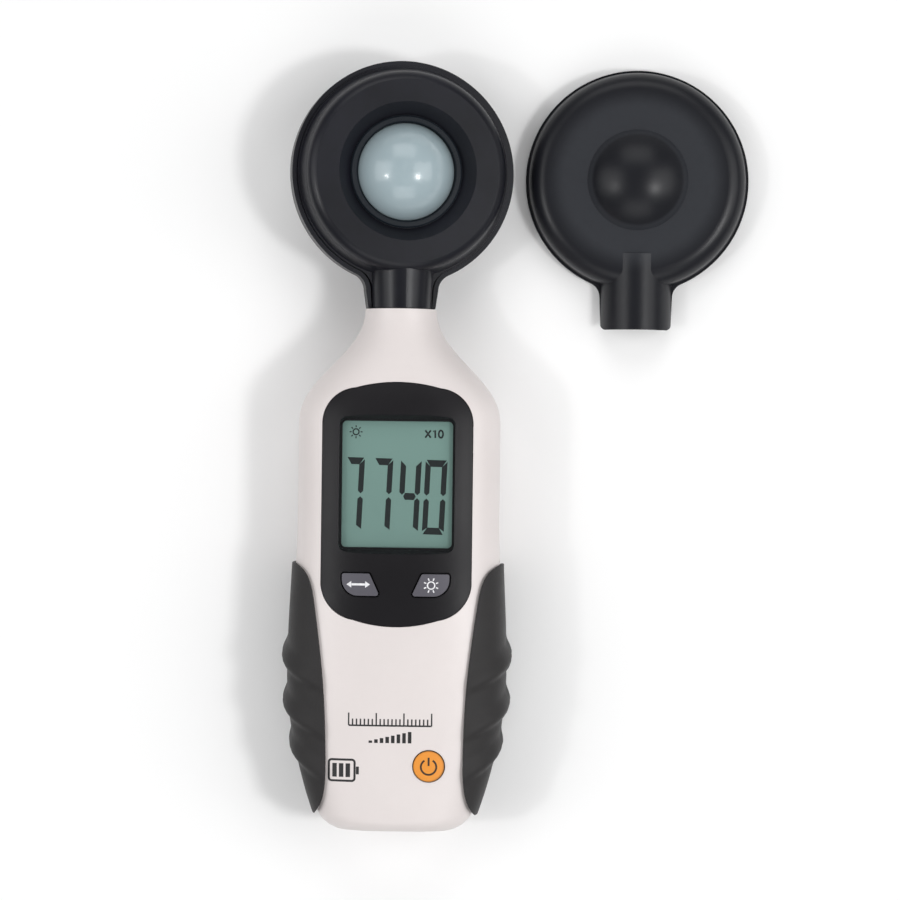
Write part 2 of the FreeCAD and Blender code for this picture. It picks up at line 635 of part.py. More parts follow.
def crystal():
    """Clock crystal in its oval can, under the board."""
    can = fuse_all([box(7.5, 12.5, 14, 18, BOARD_Z - 3.2, BOARD_Z), rod(2, 7.5, 16, BOARD_Z - 3.2, BOARD_Z),
                    rod(2, 12.5, 16, BOARD_Z - 3.2, BOARD_Z)])
    return clean(can)


def screw(head_r, head_h, shank_r, length, x, y, head_z):
    """Cross-head screw driven upwards: its head is at the bottom."""
    solid = rod(head_r, x, y, head_z, head_z + head_h).fuse(rod(shank_r, x, y, head_z, head_z + length))
    half = head_r * 0.62
    cross = fuse_all([box(x - half, x + half, y - 0.28, y + 0.28, head_z - 1, head_z + head_h * 0.5),
                      box(x - 0.28, x + 0.28, y - half, y + half, head_z - 1, head_z + head_h * 0.5)])
    return clean(solid.cut(cross))


def case_screws():
    return both_sides([screw(2.7, 1.7, 1.4, 14.5, x, y, 5.25) for x, y in CASE_SCREWS])


def board_screws():
    return both_sides([screw(1.8, 1.1, 0.9, 6.4, x, y, BOARD_Z - 1.1) for x, y in BOARD_SCREWS])


# ---------------------------------------------------------------- cells and contacts
def cell(x):
    """AAA cell with its raised positive end towards the sensor."""
    body = shaft(CELL_R, CELL_FOOT_Y, CELL_TOP_Y - 0.8, CELL_Z, x)
    return clean(body.fuse(shaft(1.9, CELL_FOOT_Y, CELL_TOP_Y, CELL_Z, x)))


def negative_contacts():
    """Bent spring leaves at the foot of the bay, one for each cell."""
    leaves = []
    half = 2.8
    y0 = BAY_FOOT_Y + 0.05
    for x in (-CELL_PITCH, 0.0, CELL_PITCH):
        profile = [V(x, y0, 3.6), V(x, y0 + 0.35, 3.6), V(x, y0 + 0.35, 10.4), V(x, CELL_FOOT_Y - 0.1, 7.9),
                   V(x, CELL_FOOT_Y - 0.1, 8.5), V(x, y0 + 0.35, 11.2), V(x, y0, 11.2), V(x, y0, 3.6)]
        leaf = Part.Face(Part.makePolygon(profile)).extrude(V(2 * half, 0, 0))
        leaf.translate(V(-half, 0, 0))
        leaves.append(leaf)
    return Part.makeCompound(leaves)


def positive_contacts():
    """Flat plates with a raised button, at the upper end of the bay."""
    plates = []
    for x in (-CELL_PITCH, 0.0, CELL_PITCH):
        plate = box(x - 3.5, x + 3.5, BAY_TOP_Y - 0.4, BAY_TOP_Y - 0.05, 3.6, 11.6)
        button = shaft(2.2, CELL_TOP_Y + 0.1, BAY_TOP_Y - 0.3, CELL_Z, x)
        plates.append(clean(plate.fuse(button)))
    return Part.makeCompound(plates)


def tube(points, r):
    """A wire along straight runs joined by tangent arcs, each as large as its two runs allow."""
    edges, start = [], points[0]
    for i in range(1, len(points) - 1):
        a, p, b = points[i - 1], points[i], points[i + 1]
        u, w = (a - p), (b - p)
        reach = 0.45 * min(u.Length, w.Length)
        u.normalize()
        w.normalize()
        s, e = p + u * reach, p + w * reach
        bis = u + w
        bis.normalize()
        half = u.getAngle(w) / 2
        radius = reach * math.tan(half)
        mid = p + bis * (radius / math.sin(half) - radius)
        edges.append(Part.makeLine(start, s))
        edges.append(Part.Arc(s, mid, e).toShape())
        start = e
    edges.append(Part.makeLine(start, points[-1]))
    path = Part.Wire(edges)
    way = points[1] - points[0]
    circle = Part.Wire(Part.makeCircle(r, points[0], way))
    return path.makePipeShell([circle], True, True)


def battery_lead(side):
    """Lead from the outer contact up past the end of the bay to the board."""
    x = side * (CELL_PITCH + 1.0)
    pts = [V(x, BAY_TOP_Y + 1.3, 9.0), V(x, BAY_TOP_Y + 4.2, 9.0), V(x, BAY_TOP_Y + 6.2, 11.6),
           V(x, BAY_TOP_Y + 6.2, BOARD_Z)]
    return tube(pts, 0.6)


def board_lead():
    """The sensor lead inside the case, from the swivel's axis down to its socket on the board."""
    pts = [V(0, 52.6, PART_Z), V(0, 50.2, PART_Z), V(0, 48.3, PART_Z - 1.6), V(0, 42.6, PART_Z - 1.6)]
    return tube(pts, 0.9)


def lead_socket():
    """Small socket under the board that the sensor lead plugs into."""
    return box(-3.2, 3.2, 36.6, 42.5, BOARD_Z - 4.6, BOARD_Z)


# ---------------------------------------------------------------- back fittings
def turned(shape, degrees):
    copy = shape.copy()
    copy.rotate(V(0, 0, 0), V(0, 0, 1), degrees)
    return copy


def tripod_insert():
    """Flanged insert nut, its thread cut to the quarter-inch tripod size."""
    body = rod(5.0, 0, 0, 0, SOCKET_L).fuse(rod(6.1, 0, 0, 0, 1.2))
    grooves = [turned(box(-0.35, 0.35, 4.6, 6.0, 1.6, SOCKET_L - 1), a) for a in range(0, 360, 30)]
    return clean(body.cut(fuse_all(grooves + [rod(SOCKET_R, 0, 0, -1, SOCKET_L + 1)])))


def rating_label():
    return rounded_box(14.0, 8.0, 1.3, 0, 20.0, 0.15, 0.35)


def swivel_washer():
    """Friction washer behind the spigot's flange."""
    return shaft(7.7, 53.55, 54.35).cut(shaft(3.6, 50, 60))


# ---------------------------------------------------------------- sensor head
def head_outline(inset, neck_half_top, neck_half_foot, foot_y):
    """Plan outline of the head: a disc with a neck, and a fillet where they meet."""
    r = HEAD_R - inset
    fillet = 4.5 + inset
    join_y = HEAD_Y - math.sqrt((r + fillet) ** 2 - (neck_half_top + fillet) ** 2)
    centre = V(neck_half_top + fillet, join_y, 0)
    to_disc = V(0, HEAD_Y, 0) - centre
    to_disc.normalize()
    on_disc = centre + to_disc * fillet
    on_neck = V(neck_half_top, join_y, 0)
    mid_dir = to_disc + V(-1, 0, 0)
    mid_dir.normalize()
    mid = centre + mid_dir * fillet
    foot = V(neck_half_foot, foot_y, 0)

    def flip(p):
        return V(-p.x, p.y, p.z)

    return Part.Wire([
        Part.makeLine(foot, on_neck), Part.Arc(on_neck, mid, on_disc).toShape(),
        Part.Arc(on_disc, V(0, HEAD_Y + r, 0), flip(on_disc)).toShape(),
        Part.Arc(flip(on_disc), flip(mid), flip(on_neck)).toShape(), Part.makeLine(flip(on_neck), flip(foot)),
        Part.makeLine(flip(foot), foot)])


def neck_rod(r_top, r_foot, y0, y1):
    """Round neck, a little thinner at the collar."""
    return Part.makeCone(r_foot, r_top, y1 - y0, V(0, y0, PART_Z), V(0, 1, 0))


def head_bowl(shrink=0.0):
    """Back half of the head as a solid, shrunk all round by that much."""
    r, h, edge = HEAD_R - shrink, HEAD_BACK_H - shrink, 7.5
    z0, zb = PART_Z, PART_Z - h
    s = edge * (1 - math.sqrt(0.5))
    profile = [line((0, z0), (r, z0)), line((r, z0), (r, zb + edge)),
               arc((r, zb + edge), (r - s, zb + s), (r - edge, zb)),
               line((r - edge, zb), (0, zb)), line((0, zb), (0, z0))]
    return revolve(profile, 0, HEAD_Y)


def head_rear_shell():
    plan = head_outline(0.0, NECK_TOP_R, NECK_FOOT_R, NECK_FOOT_Y)
    outline = prism(plan, PART_Z, PART_Z + FLANGE_TOP)
    lower = box(-60, 60, 40, 140, -60, PART_Z)
    neck = neck_rod(NECK_TOP_R, NECK_FOOT_R, NECK_FOOT_Y, 72.0).common(lower)
    web = prism(plan, PART_Z - 3.2, PART_Z)
    outer = fuse_all([head_bowl(), neck, web, outline])
    hollow = fuse_all([head_bowl(SKIN), shaft(SPIGOT_R + 0.05, NECK_FOOT_Y - 1, 70.0),
                       prism(head_outline(HEAD_FLANGE - 0.1, 8.15, 7.75, NECK_FOOT_Y - 1), PART_Z, PART_Z + 5),
                       shaft(4.0, 68.0, 80.0)])
    shell = outer.cut(hollow)
    floor_z = PART_Z - HEAD_BACK_H + SKIN / 2
    bosses = [rod(3.0, x, y, floor_z, PART_Z) for x, y in HEAD_SCREWS]
    bosses += [rod(2.2, x, y, floor_z, SENSOR_BOARD_Z) for x, y in SENSOR_POSTS]
    bosses += [rod(0.9, x, y, floor_z, SENSOR_BOARD_Z + 1.8) for x, y in SENSOR_POSTS]
    shell = shell.fuse(fuse_all(bosses))
    holes = [rod(1.2, x, y, 0, 30) for x, y in HEAD_SCREWS] + [rod(2.3, x, y, 0, 7.5) for x, y in HEAD_SCREWS]
    return clean(shell.cut(fuse_all(holes)))


def head_cone(shrink=0.0, base=0.0):
    """Front half of the head above the parting plane: steep side, rounded shoulder and flat face."""
    r, f, h = HEAD_R - HEAD_FLANGE - shrink, FACE_R - shrink * 0.6, FACE_H - shrink
    z0, z1 = PART_Z + base, PART_Z + h
    side = (r - 1.6, z1 - 3.2)
    profile = [line((0, z0), (r, z0)), line((r, z0), side), arc(side, (side[0] - 0.95, z1 - 0.9), (f, z1)),
               line((f, z1), (0, z1)), line((0, z1), (0, z0))]
    return revolve(profile, 0, HEAD_Y)


def head_front_shell():
    above = box(-60, 60, 40, 140, PART_Z, 60)
    ridge = neck_rod(RIDGE_TOP_R, RIDGE_FOOT_R, NECK_FOOT_Y, HEAD_Y - 20.5).common(above)
    skirt = prism(head_outline(HEAD_FLANGE, 7.7, 7.6, NECK_FOOT_Y), PART_Z, PART_Z + FLANGE_TOP + 0.6)
    outer = fuse_all([head_cone(), ridge, skirt])
    face_z = PART_Z + FACE_H + 0.001
    corners = [(0, DOME_Z), (SEAT_R, DOME_Z), (RECESS_R, face_z), (RECESS_R, 40), (0, 40)]
    recess = revolve([line(p, q) for p, q in zip(corners, corners[1:] + corners[:1])], 0, HEAD_Y)
    cup = rod(RECESS_R + 1.0, 0, HEAD_Y, PART_Z + RECESS_H - 1.6, PART_Z + FACE_H)
    hollow = head_cone(SKIN).cut(cup)
    bosses = [rod(2.8, x, y, PART_Z, PART_Z + FACE_H - 0.8) for x, y in HEAD_SCREWS]
    spigot_way = shaft(SPIGOT_R + 0.05, NECK_FOOT_Y - 1, 70.0)
    solid = outer.cut(fuse_all([hollow, spigot_way, shaft(4.0, 68.0, 80.0)]))
    solid = solid.fuse(fuse_all(bosses))
    holes = [rod(0.95, x, y, 0, PART_Z + 5.5) for x, y in HEAD_SCREWS]
    mouth = rod(DOME_R + 0.15, 0, HEAD_Y, PART_Z, 60)
    return clean(solid.cut(fuse_all([recess, mouth] + holes)))


def dome_solid(r, h, z):
    """Spherical cap of base radius r and height h standing on z, at the head's centre."""
    ball = (r * r + h * h) / (2 * h)
    sphere = Part.makeSphere(ball, V(0, HEAD_Y, z + h - ball))
    return sphere.common(rod(r + 1, 0, HEAD_Y, z, z + h + 1))


def diffuser_dome():
    """Hollow opal dome with a flange under the moulding."""
    outer = fuse_all([dome_solid(DOME_R, DOME_H, DOME_Z), rod(DOME_R, 0, HEAD_Y, DOME_Z - 1.7, DOME_Z),
                      rod(DOME_R + 1.6, 0, HEAD_Y, DOME_Z - 2.8, DOME_Z - 1.7)])
    inner_r = DOME_R - 1.5
    hollow = dome_solid(inner_r, DOME_H - 1.5, DOME_Z).fuse(rod(inner_r, 0, HEAD_Y, DOME_Z - 3, DOME_Z))
    return clean(outer.cut(hollow))


def dome_ring():
    """Trim ring in the floor of the recess."""
    r_in, r_out = DOME_R + 0.15, SEAT_R - 0.1
    z0, z1, z2 = DOME_Z, DOME_Z + 0.35, DOME_Z + 0.7
    corners = [(r_in, z0), (r_out, z0), (r_out, z1), (r_out - 0.4, z2), (r_in + 0.4, z2), (r_in, z1)]
    profile = [line(p, q) for p, q in zip(corners, corners[1:] + corners[:1])]
    return revolve(profile, 0, HEAD_Y)


def sensor_board():
    board = rod(15.0, 0, HEAD_Y, SENSOR_BOARD_Z, SENSOR_BOARD_Z + 1.2)
    return board.cut(fuse_all([rod(1.0, x, y, 0, 40) for x, y in SENSOR_POSTS]))


def photodiode():
    """Silicon cell in its flat package on the sensor board."""
    z = SENSOR_BOARD_Z + 1.2
    body = rounded_box(4.5, 4.5, 0.6, 0, HEAD_Y, z, z + 1.6)
    return clean(body.cut(box(-3.4, 3.4, HEAD_Y - 3.4, HEAD_Y + 3.4, z + 1.4, 40)))


def colour_filter():
    """Corrective glass disc over the cell."""
    z = SENSOR_BOARD_Z + 1.2 + 1.6
    return rod(5.6, 0, HEAD_Y, z + 0.05, z + 1.55)


def filter_holder():
    """Black tube that carries the filter under the dome and keeps stray light out."""
    z = SENSOR_BOARD_Z + 1.2
    top = DOME_Z - 2.85
    outer = rod(8.6, 0, HEAD_Y, z, top)
    return outer.cut(fuse_all([rod(6.8, 0, HEAD_Y, z - 1, z + 1.65), rod(5.7, 0, HEAD_Y, z + 1.6, top + 1)]))


def neck_tube():
    """Hollow spigot the head turns on; its flange is held in the collar."""
    lug = shaft(STOP_R, 54.6, 56.0).common(box(-STOP_HALF, STOP_HALF, 50, 60, -5, PART_Z))
    tube_outer = fuse_all([shaft(SPIGOT_R, 54.45, 69.8), shaft(SPIGOT_FLANGE_R, 54.45, 56.2), lug])
    return clean(tube_outer.cut(shaft(3.4, 50, 75)))


def sensor_lead():
    """Lead from the sensor board down the swivel's axis."""
    z = SENSOR_BOARD_Z - 1.0
    pts = [V(0, HEAD_Y - 11.0, z), V(0, HEAD_Y - 17.6, z), V(0, HEAD_Y - 22.2, PART_Z), V(0, 53.0, PART_Z)]
    return tube(pts, 0.9)


def head_screws():
    return Part.makeCompound([screw(2.0, 1.4, 0.9, 11.0, x, y, 6.05) for x, y in HEAD_SCREWS])


# ---------------------------------------------------------------- sensor cap
def cap_outline(r, half, end, fillet):
    """Plan outline of the cap about its own centre: a disc with a short neck and rounded corners."""
    join = -math.sqrt((r + fillet) ** 2 - (half + fillet) ** 2)
    centre = V(half + fillet, join, 0)
    to_disc = V(0, 0, 0) - centre
    to_disc.normalize()
    on_disc = centre + to_disc * fillet
    mid_dir = to_disc + V(-1, 0, 0)
    mid_dir.normalize()
    mid = centre + mid_dir * fillet
    on_neck = V(half, join, 0)
    corner = 1.6
    c1, c2 = V(half - 0.25, -end + corner, 0), V(half - corner - 0.4, -end, 0)
    cm = V(half - 0.65, -end + 0.45, 0)

    def flip(p):
        return V(-p.x, p.y, p.z)

    return Part.Wire([
        Part.makeLine(c1, on_neck), Part.Arc(on_neck, mid, on_disc).toShape(),
        Part.Arc(on_disc, V(0, r, 0), flip(on_disc)).toShape(),
        Part.Arc(flip(on_disc), flip(mid), flip(on_neck)).toShape(),
        Part.makeLine(flip(on_neck), flip(c1)), Part.Arc(flip(c1), flip(cm), flip(c2)).toShape(),
        Part.makeLine(flip(c2), c2), Part.Arc(c2, cm, c1).toShape()])


def cap_form(shrink):
    """The cap as a solid standing on z = 0 at its own centre, shrunk by its wall for the inside."""
    r, f = CAP_R - shrink, CAP_FACE_R - shrink * 0.5
    h = CAP_FACE_H - shrink
    side = (r - 0.9, h * 0.42)
    lean = (r - 2.5, h - 1.25)
    profile = [line((0, 0), (r, 0)), line((r, 0), side), arc(side, lean, (f, h)), line((f, h), (0, h)),
               line((0, h), (0, 0))]
    disc = revolve(profile, 0, 0)
    dome_r, dome_h = CAP_DOME_R - shrink * 0.9, CAP_DOME_H
    ball = (dome_r ** 2 + dome_h ** 2) / (2 * dome_h)
    dome = Part.makeSphere(ball, V(0, 0, h + dome_h - ball))
    dome = dome.common(rod(dome_r + 2, 0, 0, h - 1, h + dome_h + 1))
    half, high = CAP_NECK_HALF - shrink, CAP_NECK_H - shrink
    bar = Part.makeCylinder(1.0, CAP_NECK_END - CAP_RIDGE_START, V(0, -CAP_NECK_END, 0), V(0, 1, 0))
    stretch = FreeCAD.Matrix()
    stretch.scale(half, 1.0, high)
    neck = bar.transformGeometry(stretch).common(box(-40, 40, -60, 40, 0, 40))
    end = CAP_NECK_END - shrink
    plan = prism(cap_outline(r, half, end, 4.0 + shrink), 0, 40)
    base = prism(cap_outline(r, half, end, 4.0 + shrink), 0, 2.2)
    return fuse_all([disc, dome, neck.common(plan), base])


def sensor_cap():
    """Loose protective cap, lying open side down beside the head."""
    outer = cap_form(0.0)
    inner = cap_form(CAP_WALL)
    seam = COLLAR_Y - HEAD_Y + 0.2
    inner = inner.cut(box(-40, 40, -60, seam, -1, 40))
    shell = outer.cut(inner)
    over_collar = Part.makeCone(COLLAR_R + 0.25, COLLAR_R + 1.3, 6.0, V(0, seam, -FLANGE_TOP), V(0, -1, 0))
    low = box(-40, 40, -60, seam, -1, 1.0)
    shell = shell.cut(fuse_all([over_collar, low]))
    nub_r = CAP_R - CAP_WALL + 0.25
    bearings = [math.radians(a) for a in (20, 90, 160, 215, 325)]
    nubs = fuse_all([rod(0.5, nub_r * math.cos(a), nub_r * math.sin(a), 0.4, 3.4) for a in bearings])
    shell = clean(shell.fuse(nubs.common(cap_form(0.3))))
    shell.translate(V(CAP_X, CAP_Y, 0))
    return shell


# ---------------------------------------------------------------- write every node
NODES = {
    "front_case": front_case, "rear_case": rear_case, "battery_door": battery_door,
    "display_bezel": display_bezel, "lcd_window": lcd_window, "lcd_glass": lcd_glass,
    "backlight_panel": backlight_panel, "contact_strip": contact_strip, "display_frame": display_frame,
    "mode_key": lambda: small_key(-1), "backlight_key": lambda: small_key(1), "power_key": power_key,
    "main_board": main_board, "processor_chip": lambda: chip(0.0, 12.0, 9.0, 11.4, 1.8),
    "board_chips": board_chips, "capacitors": capacitors, "crystal": crystal,
    "case_screws": case_screws, "board_screws": board_screws, "negative_contacts": negative_contacts,
    "positive_contacts": positive_contacts, "battery_lead_red": lambda: battery_lead(1),
    "battery_lead_black": lambda: battery_lead(-1), "board_lead": board_lead, "lead_socket": lead_socket,
    "tripod_insert": tripod_insert, "rating_label": rating_label, "swivel_washer": swivel_washer,
    "head_front_shell": head_front_shell, "head_rear_shell": head_rear_shell, "diffuser_dome": diffuser_dome,
    "dome_ring": dome_ring, "sensor_board": sensor_board, "photodiode": photodiode,
    "colour_filter": colour_filter, "filter_holder": filter_holder, "neck_tube": neck_tube,
    "sensor_lead": sensor_lead, "head_screws": head_screws, "sensor_cap": sensor_cap,
}
HEAD_NODES = ["head_front_shell", "head_rear_shell", "diffuser_dome", "dome_ring", "sensor_board",
              "photodiode", "colour_filter", "filter_holder", "neck_tube", "sensor_lead", "head_screws"]
for name, make in NODES.items():
    piece = make()
    if name in HEAD_NODES:
        piece.rotate(V(0, 0, PART_Z), V(0, 1, 0), HEAD_TURN)
    save(piece, name)
for label, x in (("left", -CELL_PITCH), ("middle", 0.0), ("right", CELL_PITCH)):
    save(cell(x), "cell_" + label)
for label, (x, y) in SWITCHES.items():
    save(switch_base(x, y), label + "_switch")
    save(plunger(x, y), label + "_plunger")
right_grip = grip()
save(right_grip, "grip_right")
save(mirror_x(right_grip), "grip_left")
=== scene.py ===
"""Looks of the handheld light meter: its finishes, display, prints, light and camera."""
import json
import math

import bpy
import numpy as np
from mathutils import Euler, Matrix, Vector


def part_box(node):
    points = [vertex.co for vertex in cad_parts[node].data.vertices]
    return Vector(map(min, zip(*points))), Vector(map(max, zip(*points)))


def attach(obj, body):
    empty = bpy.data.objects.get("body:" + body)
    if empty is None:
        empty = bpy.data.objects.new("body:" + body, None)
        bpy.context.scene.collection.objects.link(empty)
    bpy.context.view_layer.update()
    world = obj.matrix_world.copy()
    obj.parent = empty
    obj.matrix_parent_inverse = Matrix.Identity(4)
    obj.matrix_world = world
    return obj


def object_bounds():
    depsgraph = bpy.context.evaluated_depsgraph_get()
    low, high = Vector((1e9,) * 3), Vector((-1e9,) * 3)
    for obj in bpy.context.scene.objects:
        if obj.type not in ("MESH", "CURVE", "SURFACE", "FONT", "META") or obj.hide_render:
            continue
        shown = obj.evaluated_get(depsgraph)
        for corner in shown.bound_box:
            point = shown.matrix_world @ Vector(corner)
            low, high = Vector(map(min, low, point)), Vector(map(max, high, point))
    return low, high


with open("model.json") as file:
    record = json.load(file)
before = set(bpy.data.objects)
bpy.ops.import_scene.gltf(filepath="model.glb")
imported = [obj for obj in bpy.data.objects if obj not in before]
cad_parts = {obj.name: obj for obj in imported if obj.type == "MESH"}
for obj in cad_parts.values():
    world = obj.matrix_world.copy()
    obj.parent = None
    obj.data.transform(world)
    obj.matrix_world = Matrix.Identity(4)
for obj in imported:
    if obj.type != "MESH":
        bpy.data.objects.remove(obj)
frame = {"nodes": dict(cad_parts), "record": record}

CAD_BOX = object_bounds()
NODES = frame["nodes"]
MM = 0.001


def middle(node):
    """Centre of a CAD node's box, in millimetres."""
    low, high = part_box(node)
    return (low + high) / 2 / MM


def half_of(node):
    """Half the sides of a CAD node's box, in millimetres."""
    low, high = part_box(node)
    return (high - low) / 2 / MM


def top_of(node):
    """Highest point of a CAD node, in millimetres."""
    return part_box(node)[1].z / MM


# ------------------------------------------------------------------ shader arithmetic
class Field:
    """A value that varies over a finish. Arithmetic on it adds the Math nodes."""

    def __init__(self, finish, socket):
        self.finish = finish
        self.socket = socket

    def math(self, operation, *values):
        return self.finish.node("ShaderNodeMath", {"operation": operation}, list(values))

    def __add__(self, other):
        return self.math("ADD", self, other)

    def __sub__(self, other):
        return self.math("SUBTRACT", self, other)

    def __rsub__(self, other):
        return self.math("SUBTRACT", other, self)

    def __mul__(self, other):
        return self.math("MULTIPLY", self, other)

    def __truediv__(self, other):
        return self.math("DIVIDE", self, other)

    __radd__ = __add__
    __rmul__ = __mul__

    def between(self, low, high):
        """0 below low and 1 above high, with a smooth step between them."""
        settings = {"interpolation_type": "SMOOTHSTEP", "clamp": True}
        inputs = {"Value": self, "From Min": low, "From Max": high}
        return self.finish.node("ShaderNodeMapRange", settings, inputs)

    def size(self):
        """The value without its sign."""
        return self.math("ABSOLUTE", self)

    def least(self, other):
        """The smaller of two values."""
        return self.math("MINIMUM", self, other)

    def zigzag(self, reach):
        """A wave that rises evenly to reach and falls evenly to 0 as the value grows."""
        return self.math("PINGPONG", self, reach)


class Finish:
    """One material, built node by node. Places are Object coordinates in millimetres."""

    def __init__(self, name):
        self.material = bpy.data.materials.new(name)
        self.material.use_nodes = True
        self.tree = self.material.node_tree
        self.tree.nodes.clear()
        coords = self.node("ShaderNodeTexCoord", {}, {}, "Object")
        scale = {"operation": "SCALE"}
        self.place = self.node("ShaderNodeVectorMath", scale, {0: coords, "Scale": 1 / MM})

    def node(self, kind, settings=None, inputs=None, output=0):
        """Adds a node: its settings first, then values or links for its sockets.
        Gives the chosen output."""
        made = self.tree.nodes.new(kind)
        for key, value in (settings or {}).items():
            setattr(made, key, value)
        pairs = enumerate(inputs) if isinstance(inputs, (list, tuple)) else (inputs or {}).items()
        for key, value in pairs:
            socket = made.inputs[key]
            if isinstance(value, Field):
                self.tree.links.new(value.socket, socket)
            elif isinstance(value, (tuple, list)) and len(value) == 3 and len(socket.default_value) == 4:
                socket.default_value = (*value, 1.0)
            else:
                socket.default_value = value
        return Field(self, made.outputs[output]) if len(made.outputs) else made

    def along(self, axis):
        """The place along X, Y or Z, in millimetres."""
        return self.node("ShaderNodeSeparateXYZ", {}, [self.place], axis)

    def stretched(self, x, y, z):
        """The place with each axis divided by a length in millimetres."""
        return self.node("ShaderNodeVectorMath", {"operation": "DIVIDE"}, [self.place, (x, y, z)])

    def noise(self, size, detail=2.0, rough=0.5, place=None):
        """Soft noise, 0 to 1, with features about that many millimetres across."""
        inputs = {"Vector": place or self.place, "Scale": 1.0 / size, "Detail": detail,
                  "Roughness": rough}
        return self.node("ShaderNodeTexNoise", {}, inputs, "Fac")

    def cells(self, size):
        """Distance to the nearest of scattered points about that many millimetres apart, 0 to 1."""
        inputs = {"Vector": self.place, "Scale": 1.0 / size}
        return self.node("ShaderNodeTexVoronoi", {}, inputs, "Distance")

    def blend(self, amount, one, other):
        """Colour one where amount is 0 and colour other where it is 1."""
        inputs = {0: amount, 6: one, 7: other}
        return self.node("ShaderNodeMix", {"data_type": "RGBA"}, inputs, 2)

    def distance(self, x, y, z):
        """Distance in millimetres from a point."""
        distance = {"operation": "DISTANCE"}
        return self.node("ShaderNodeVectorMath", distance, [self.place, (x, y, z)], "Value")

    def relief(self, height, depth):
        """Normal of a surface whose relief runs from 0 to that many millimetres."""
        inputs = {"Height": height, "Distance": depth * MM, "Strength": 1.0}
        return self.node("ShaderNodeBump", {}, inputs)

    def surface(self, **inputs):
        """Principled surface. Names are the shader's own, with underscores for spaces."""
        named = {key.replace("_", " "): value for key, value in inputs.items()}
        shader = self.node("ShaderNodeBsdfPrincipled", {}, named)
        self.node("ShaderNodeOutputMaterial", {}, {"Surface": shader})
        return self.material


def shade(colour, factor):
    """The colour made lighter or darker by a factor."""
    return tuple(min(1.0, c * factor) for c in colour)


# ------------------------------------------------------------------ finishes
def moulding(name, colour, rough, grain, depth, mottle=0.05, scuff=0.06, spec=0.5, tint=None):
    """Moulded plastic: spark-eroded grain, faint flow mottling, handled patches and hairline scuffs.
    Grain is its size and depth its relief, in millimetres; mottle and scuff are shares of 1."""
    f = Finish(name)
    broad = f.noise(26.0, 3.0)
    fine = f.noise(2.4, 4.0, 0.6)
    speck = f.noise(grain, 3.0, 0.65)
    hair = f.noise(1.0, 2.0, 0.5, f.stretched(9.0, 0.22, 9.0)).between(0.66, 0.74)
    other_hair = f.noise(1.0, 2.0, 0.5, f.stretched(0.25, 7.0, 7.0)).between(0.68, 0.76)
    hairs = (hair + other_hair) * fine.between(0.45, 0.7)
    tone = (broad * 0.6 + fine * 0.25 + speck * 0.15).between(0.3, 0.72)
    base = f.blend(tone, shade(colour, 1 - mottle), tint or shade(colour, 1 + mottle))
    gloss = rough - 0.06 + broad.between(0.35, 0.7) * 0.06 + speck * 0.08 + hairs * scuff
    height = speck * 0.7 + f.cells(grain * 1.7) * 0.3 - hairs * 0.12
    return f.surface(Base_Color=base, Roughness=gloss, Normal=f.relief(height, depth),
                     Specular_IOR_Level=spec)


def cap_with_painted_sheen(name, colour, sheen_colour, centre, dome, flat):
    """Moulded cap: its glossy dome and its flanks are dark, and the flat between them is satin, with a
    painted sheen that lightens its colour. The dome's edge and the flat's fade are each given by two
    distances from the centre."""
    f = Finish(name)
    cloud = f.noise(22.0, 3.0)
    fine = f.noise(2.2, 4.0, 0.6)
    speck = f.noise(0.28, 3.0, 0.65)
    hair = f.noise(1.0, 2.0, 0.5, f.stretched(7.0, 0.22, 7.0)).between(0.67, 0.75)
    away = f.distance(*centre)
    # painted sheen: this mask lightens the flat's colour, standing in for the light it mirrors; it also
    # makes the flat rougher
    satin = away.between(*dome) * (1 - away.between(*flat))
    dark = f.blend(cloud, shade(colour, 0.9), shade(colour, 1.25))
    base = f.blend(satin * (0.75 + fine * 0.5), dark, sheen_colour)
    gloss = 0.31 + satin * 0.09 + speck * 0.08 + hair * 0.05
    height = speck * 0.7 + fine * 0.2 - hair * 0.1
    return f.surface(Base_Color=base, Roughness=gloss, Normal=f.relief(height, 0.008),
                     Specular_IOR_Level=0.27)


def soft_rubber(name, colour, held_from, held_to):
    """Matt rubber: fine pebbled skin, dusty in its hollows and a little polished where it is held,
    which is between two distances from the middle of the meter."""
    f = Finish(name)
    pebble = f.cells(0.55)
    fine = f.noise(0.28, 3.0, 0.6)
    patch = f.noise(9.0, 3.0, 0.55)
    dust = f.noise(3.2, 5.0, 0.7).between(0.52, 0.8)
    held = f.along(0).size().between(held_from, held_to) * patch.between(0.35, 0.65)
    base = f.blend(patch, shade(colour, 0.86), shade(colour, 1.14))
    base = f.blend(dust * 0.16, base, shade(colour, 2.3))
    gloss = 0.56 + dust * 0.12 + fine * 0.08 - held * 0.10
    return f.surface(Base_Color=base, Roughness=gloss, Normal=f.relief(pebble * 0.6 + fine * 0.4, 0.03),
                     Specular_IOR_Level=0.30, Sheen_Weight=0.04, Sheen_Roughness=0.5)


def opal(name, colour, centre, rim_shade_from, rim_shade_to):
    """Milky diffuser: painted shade darkens it towards its rim; it has faint cloudiness and a soft
    gloss.
    """
    f = Finish(name)
    cloud = f.noise(5.0, 3.0, 0.5)
    fine = f.noise(0.4, 2.0, 0.5)
    # painted shade: the colour darkens towards the dome's rim, where the dome turns away from the light
    painted_rim_shade = f.distance(*centre).between(rim_shade_from, rim_shade_to)
    base = f.blend(painted_rim_shade, shade(colour, 1.06), shade(colour, 0.74))
    base = f.blend(cloud * 0.18, base, shade(colour, 0.9))
    return f.surface(Base_Color=base, Roughness=0.19 + fine * 0.05 + cloud * 0.05,
                     Normal=f.relief(fine, 0.003), Subsurface_Weight=0.35,
                     Subsurface_Radius=(1.0, 1.0, 1.0), Subsurface_Scale=1.6 * MM,
                     Coat_Weight=0.25, Coat_Roughness=0.12)


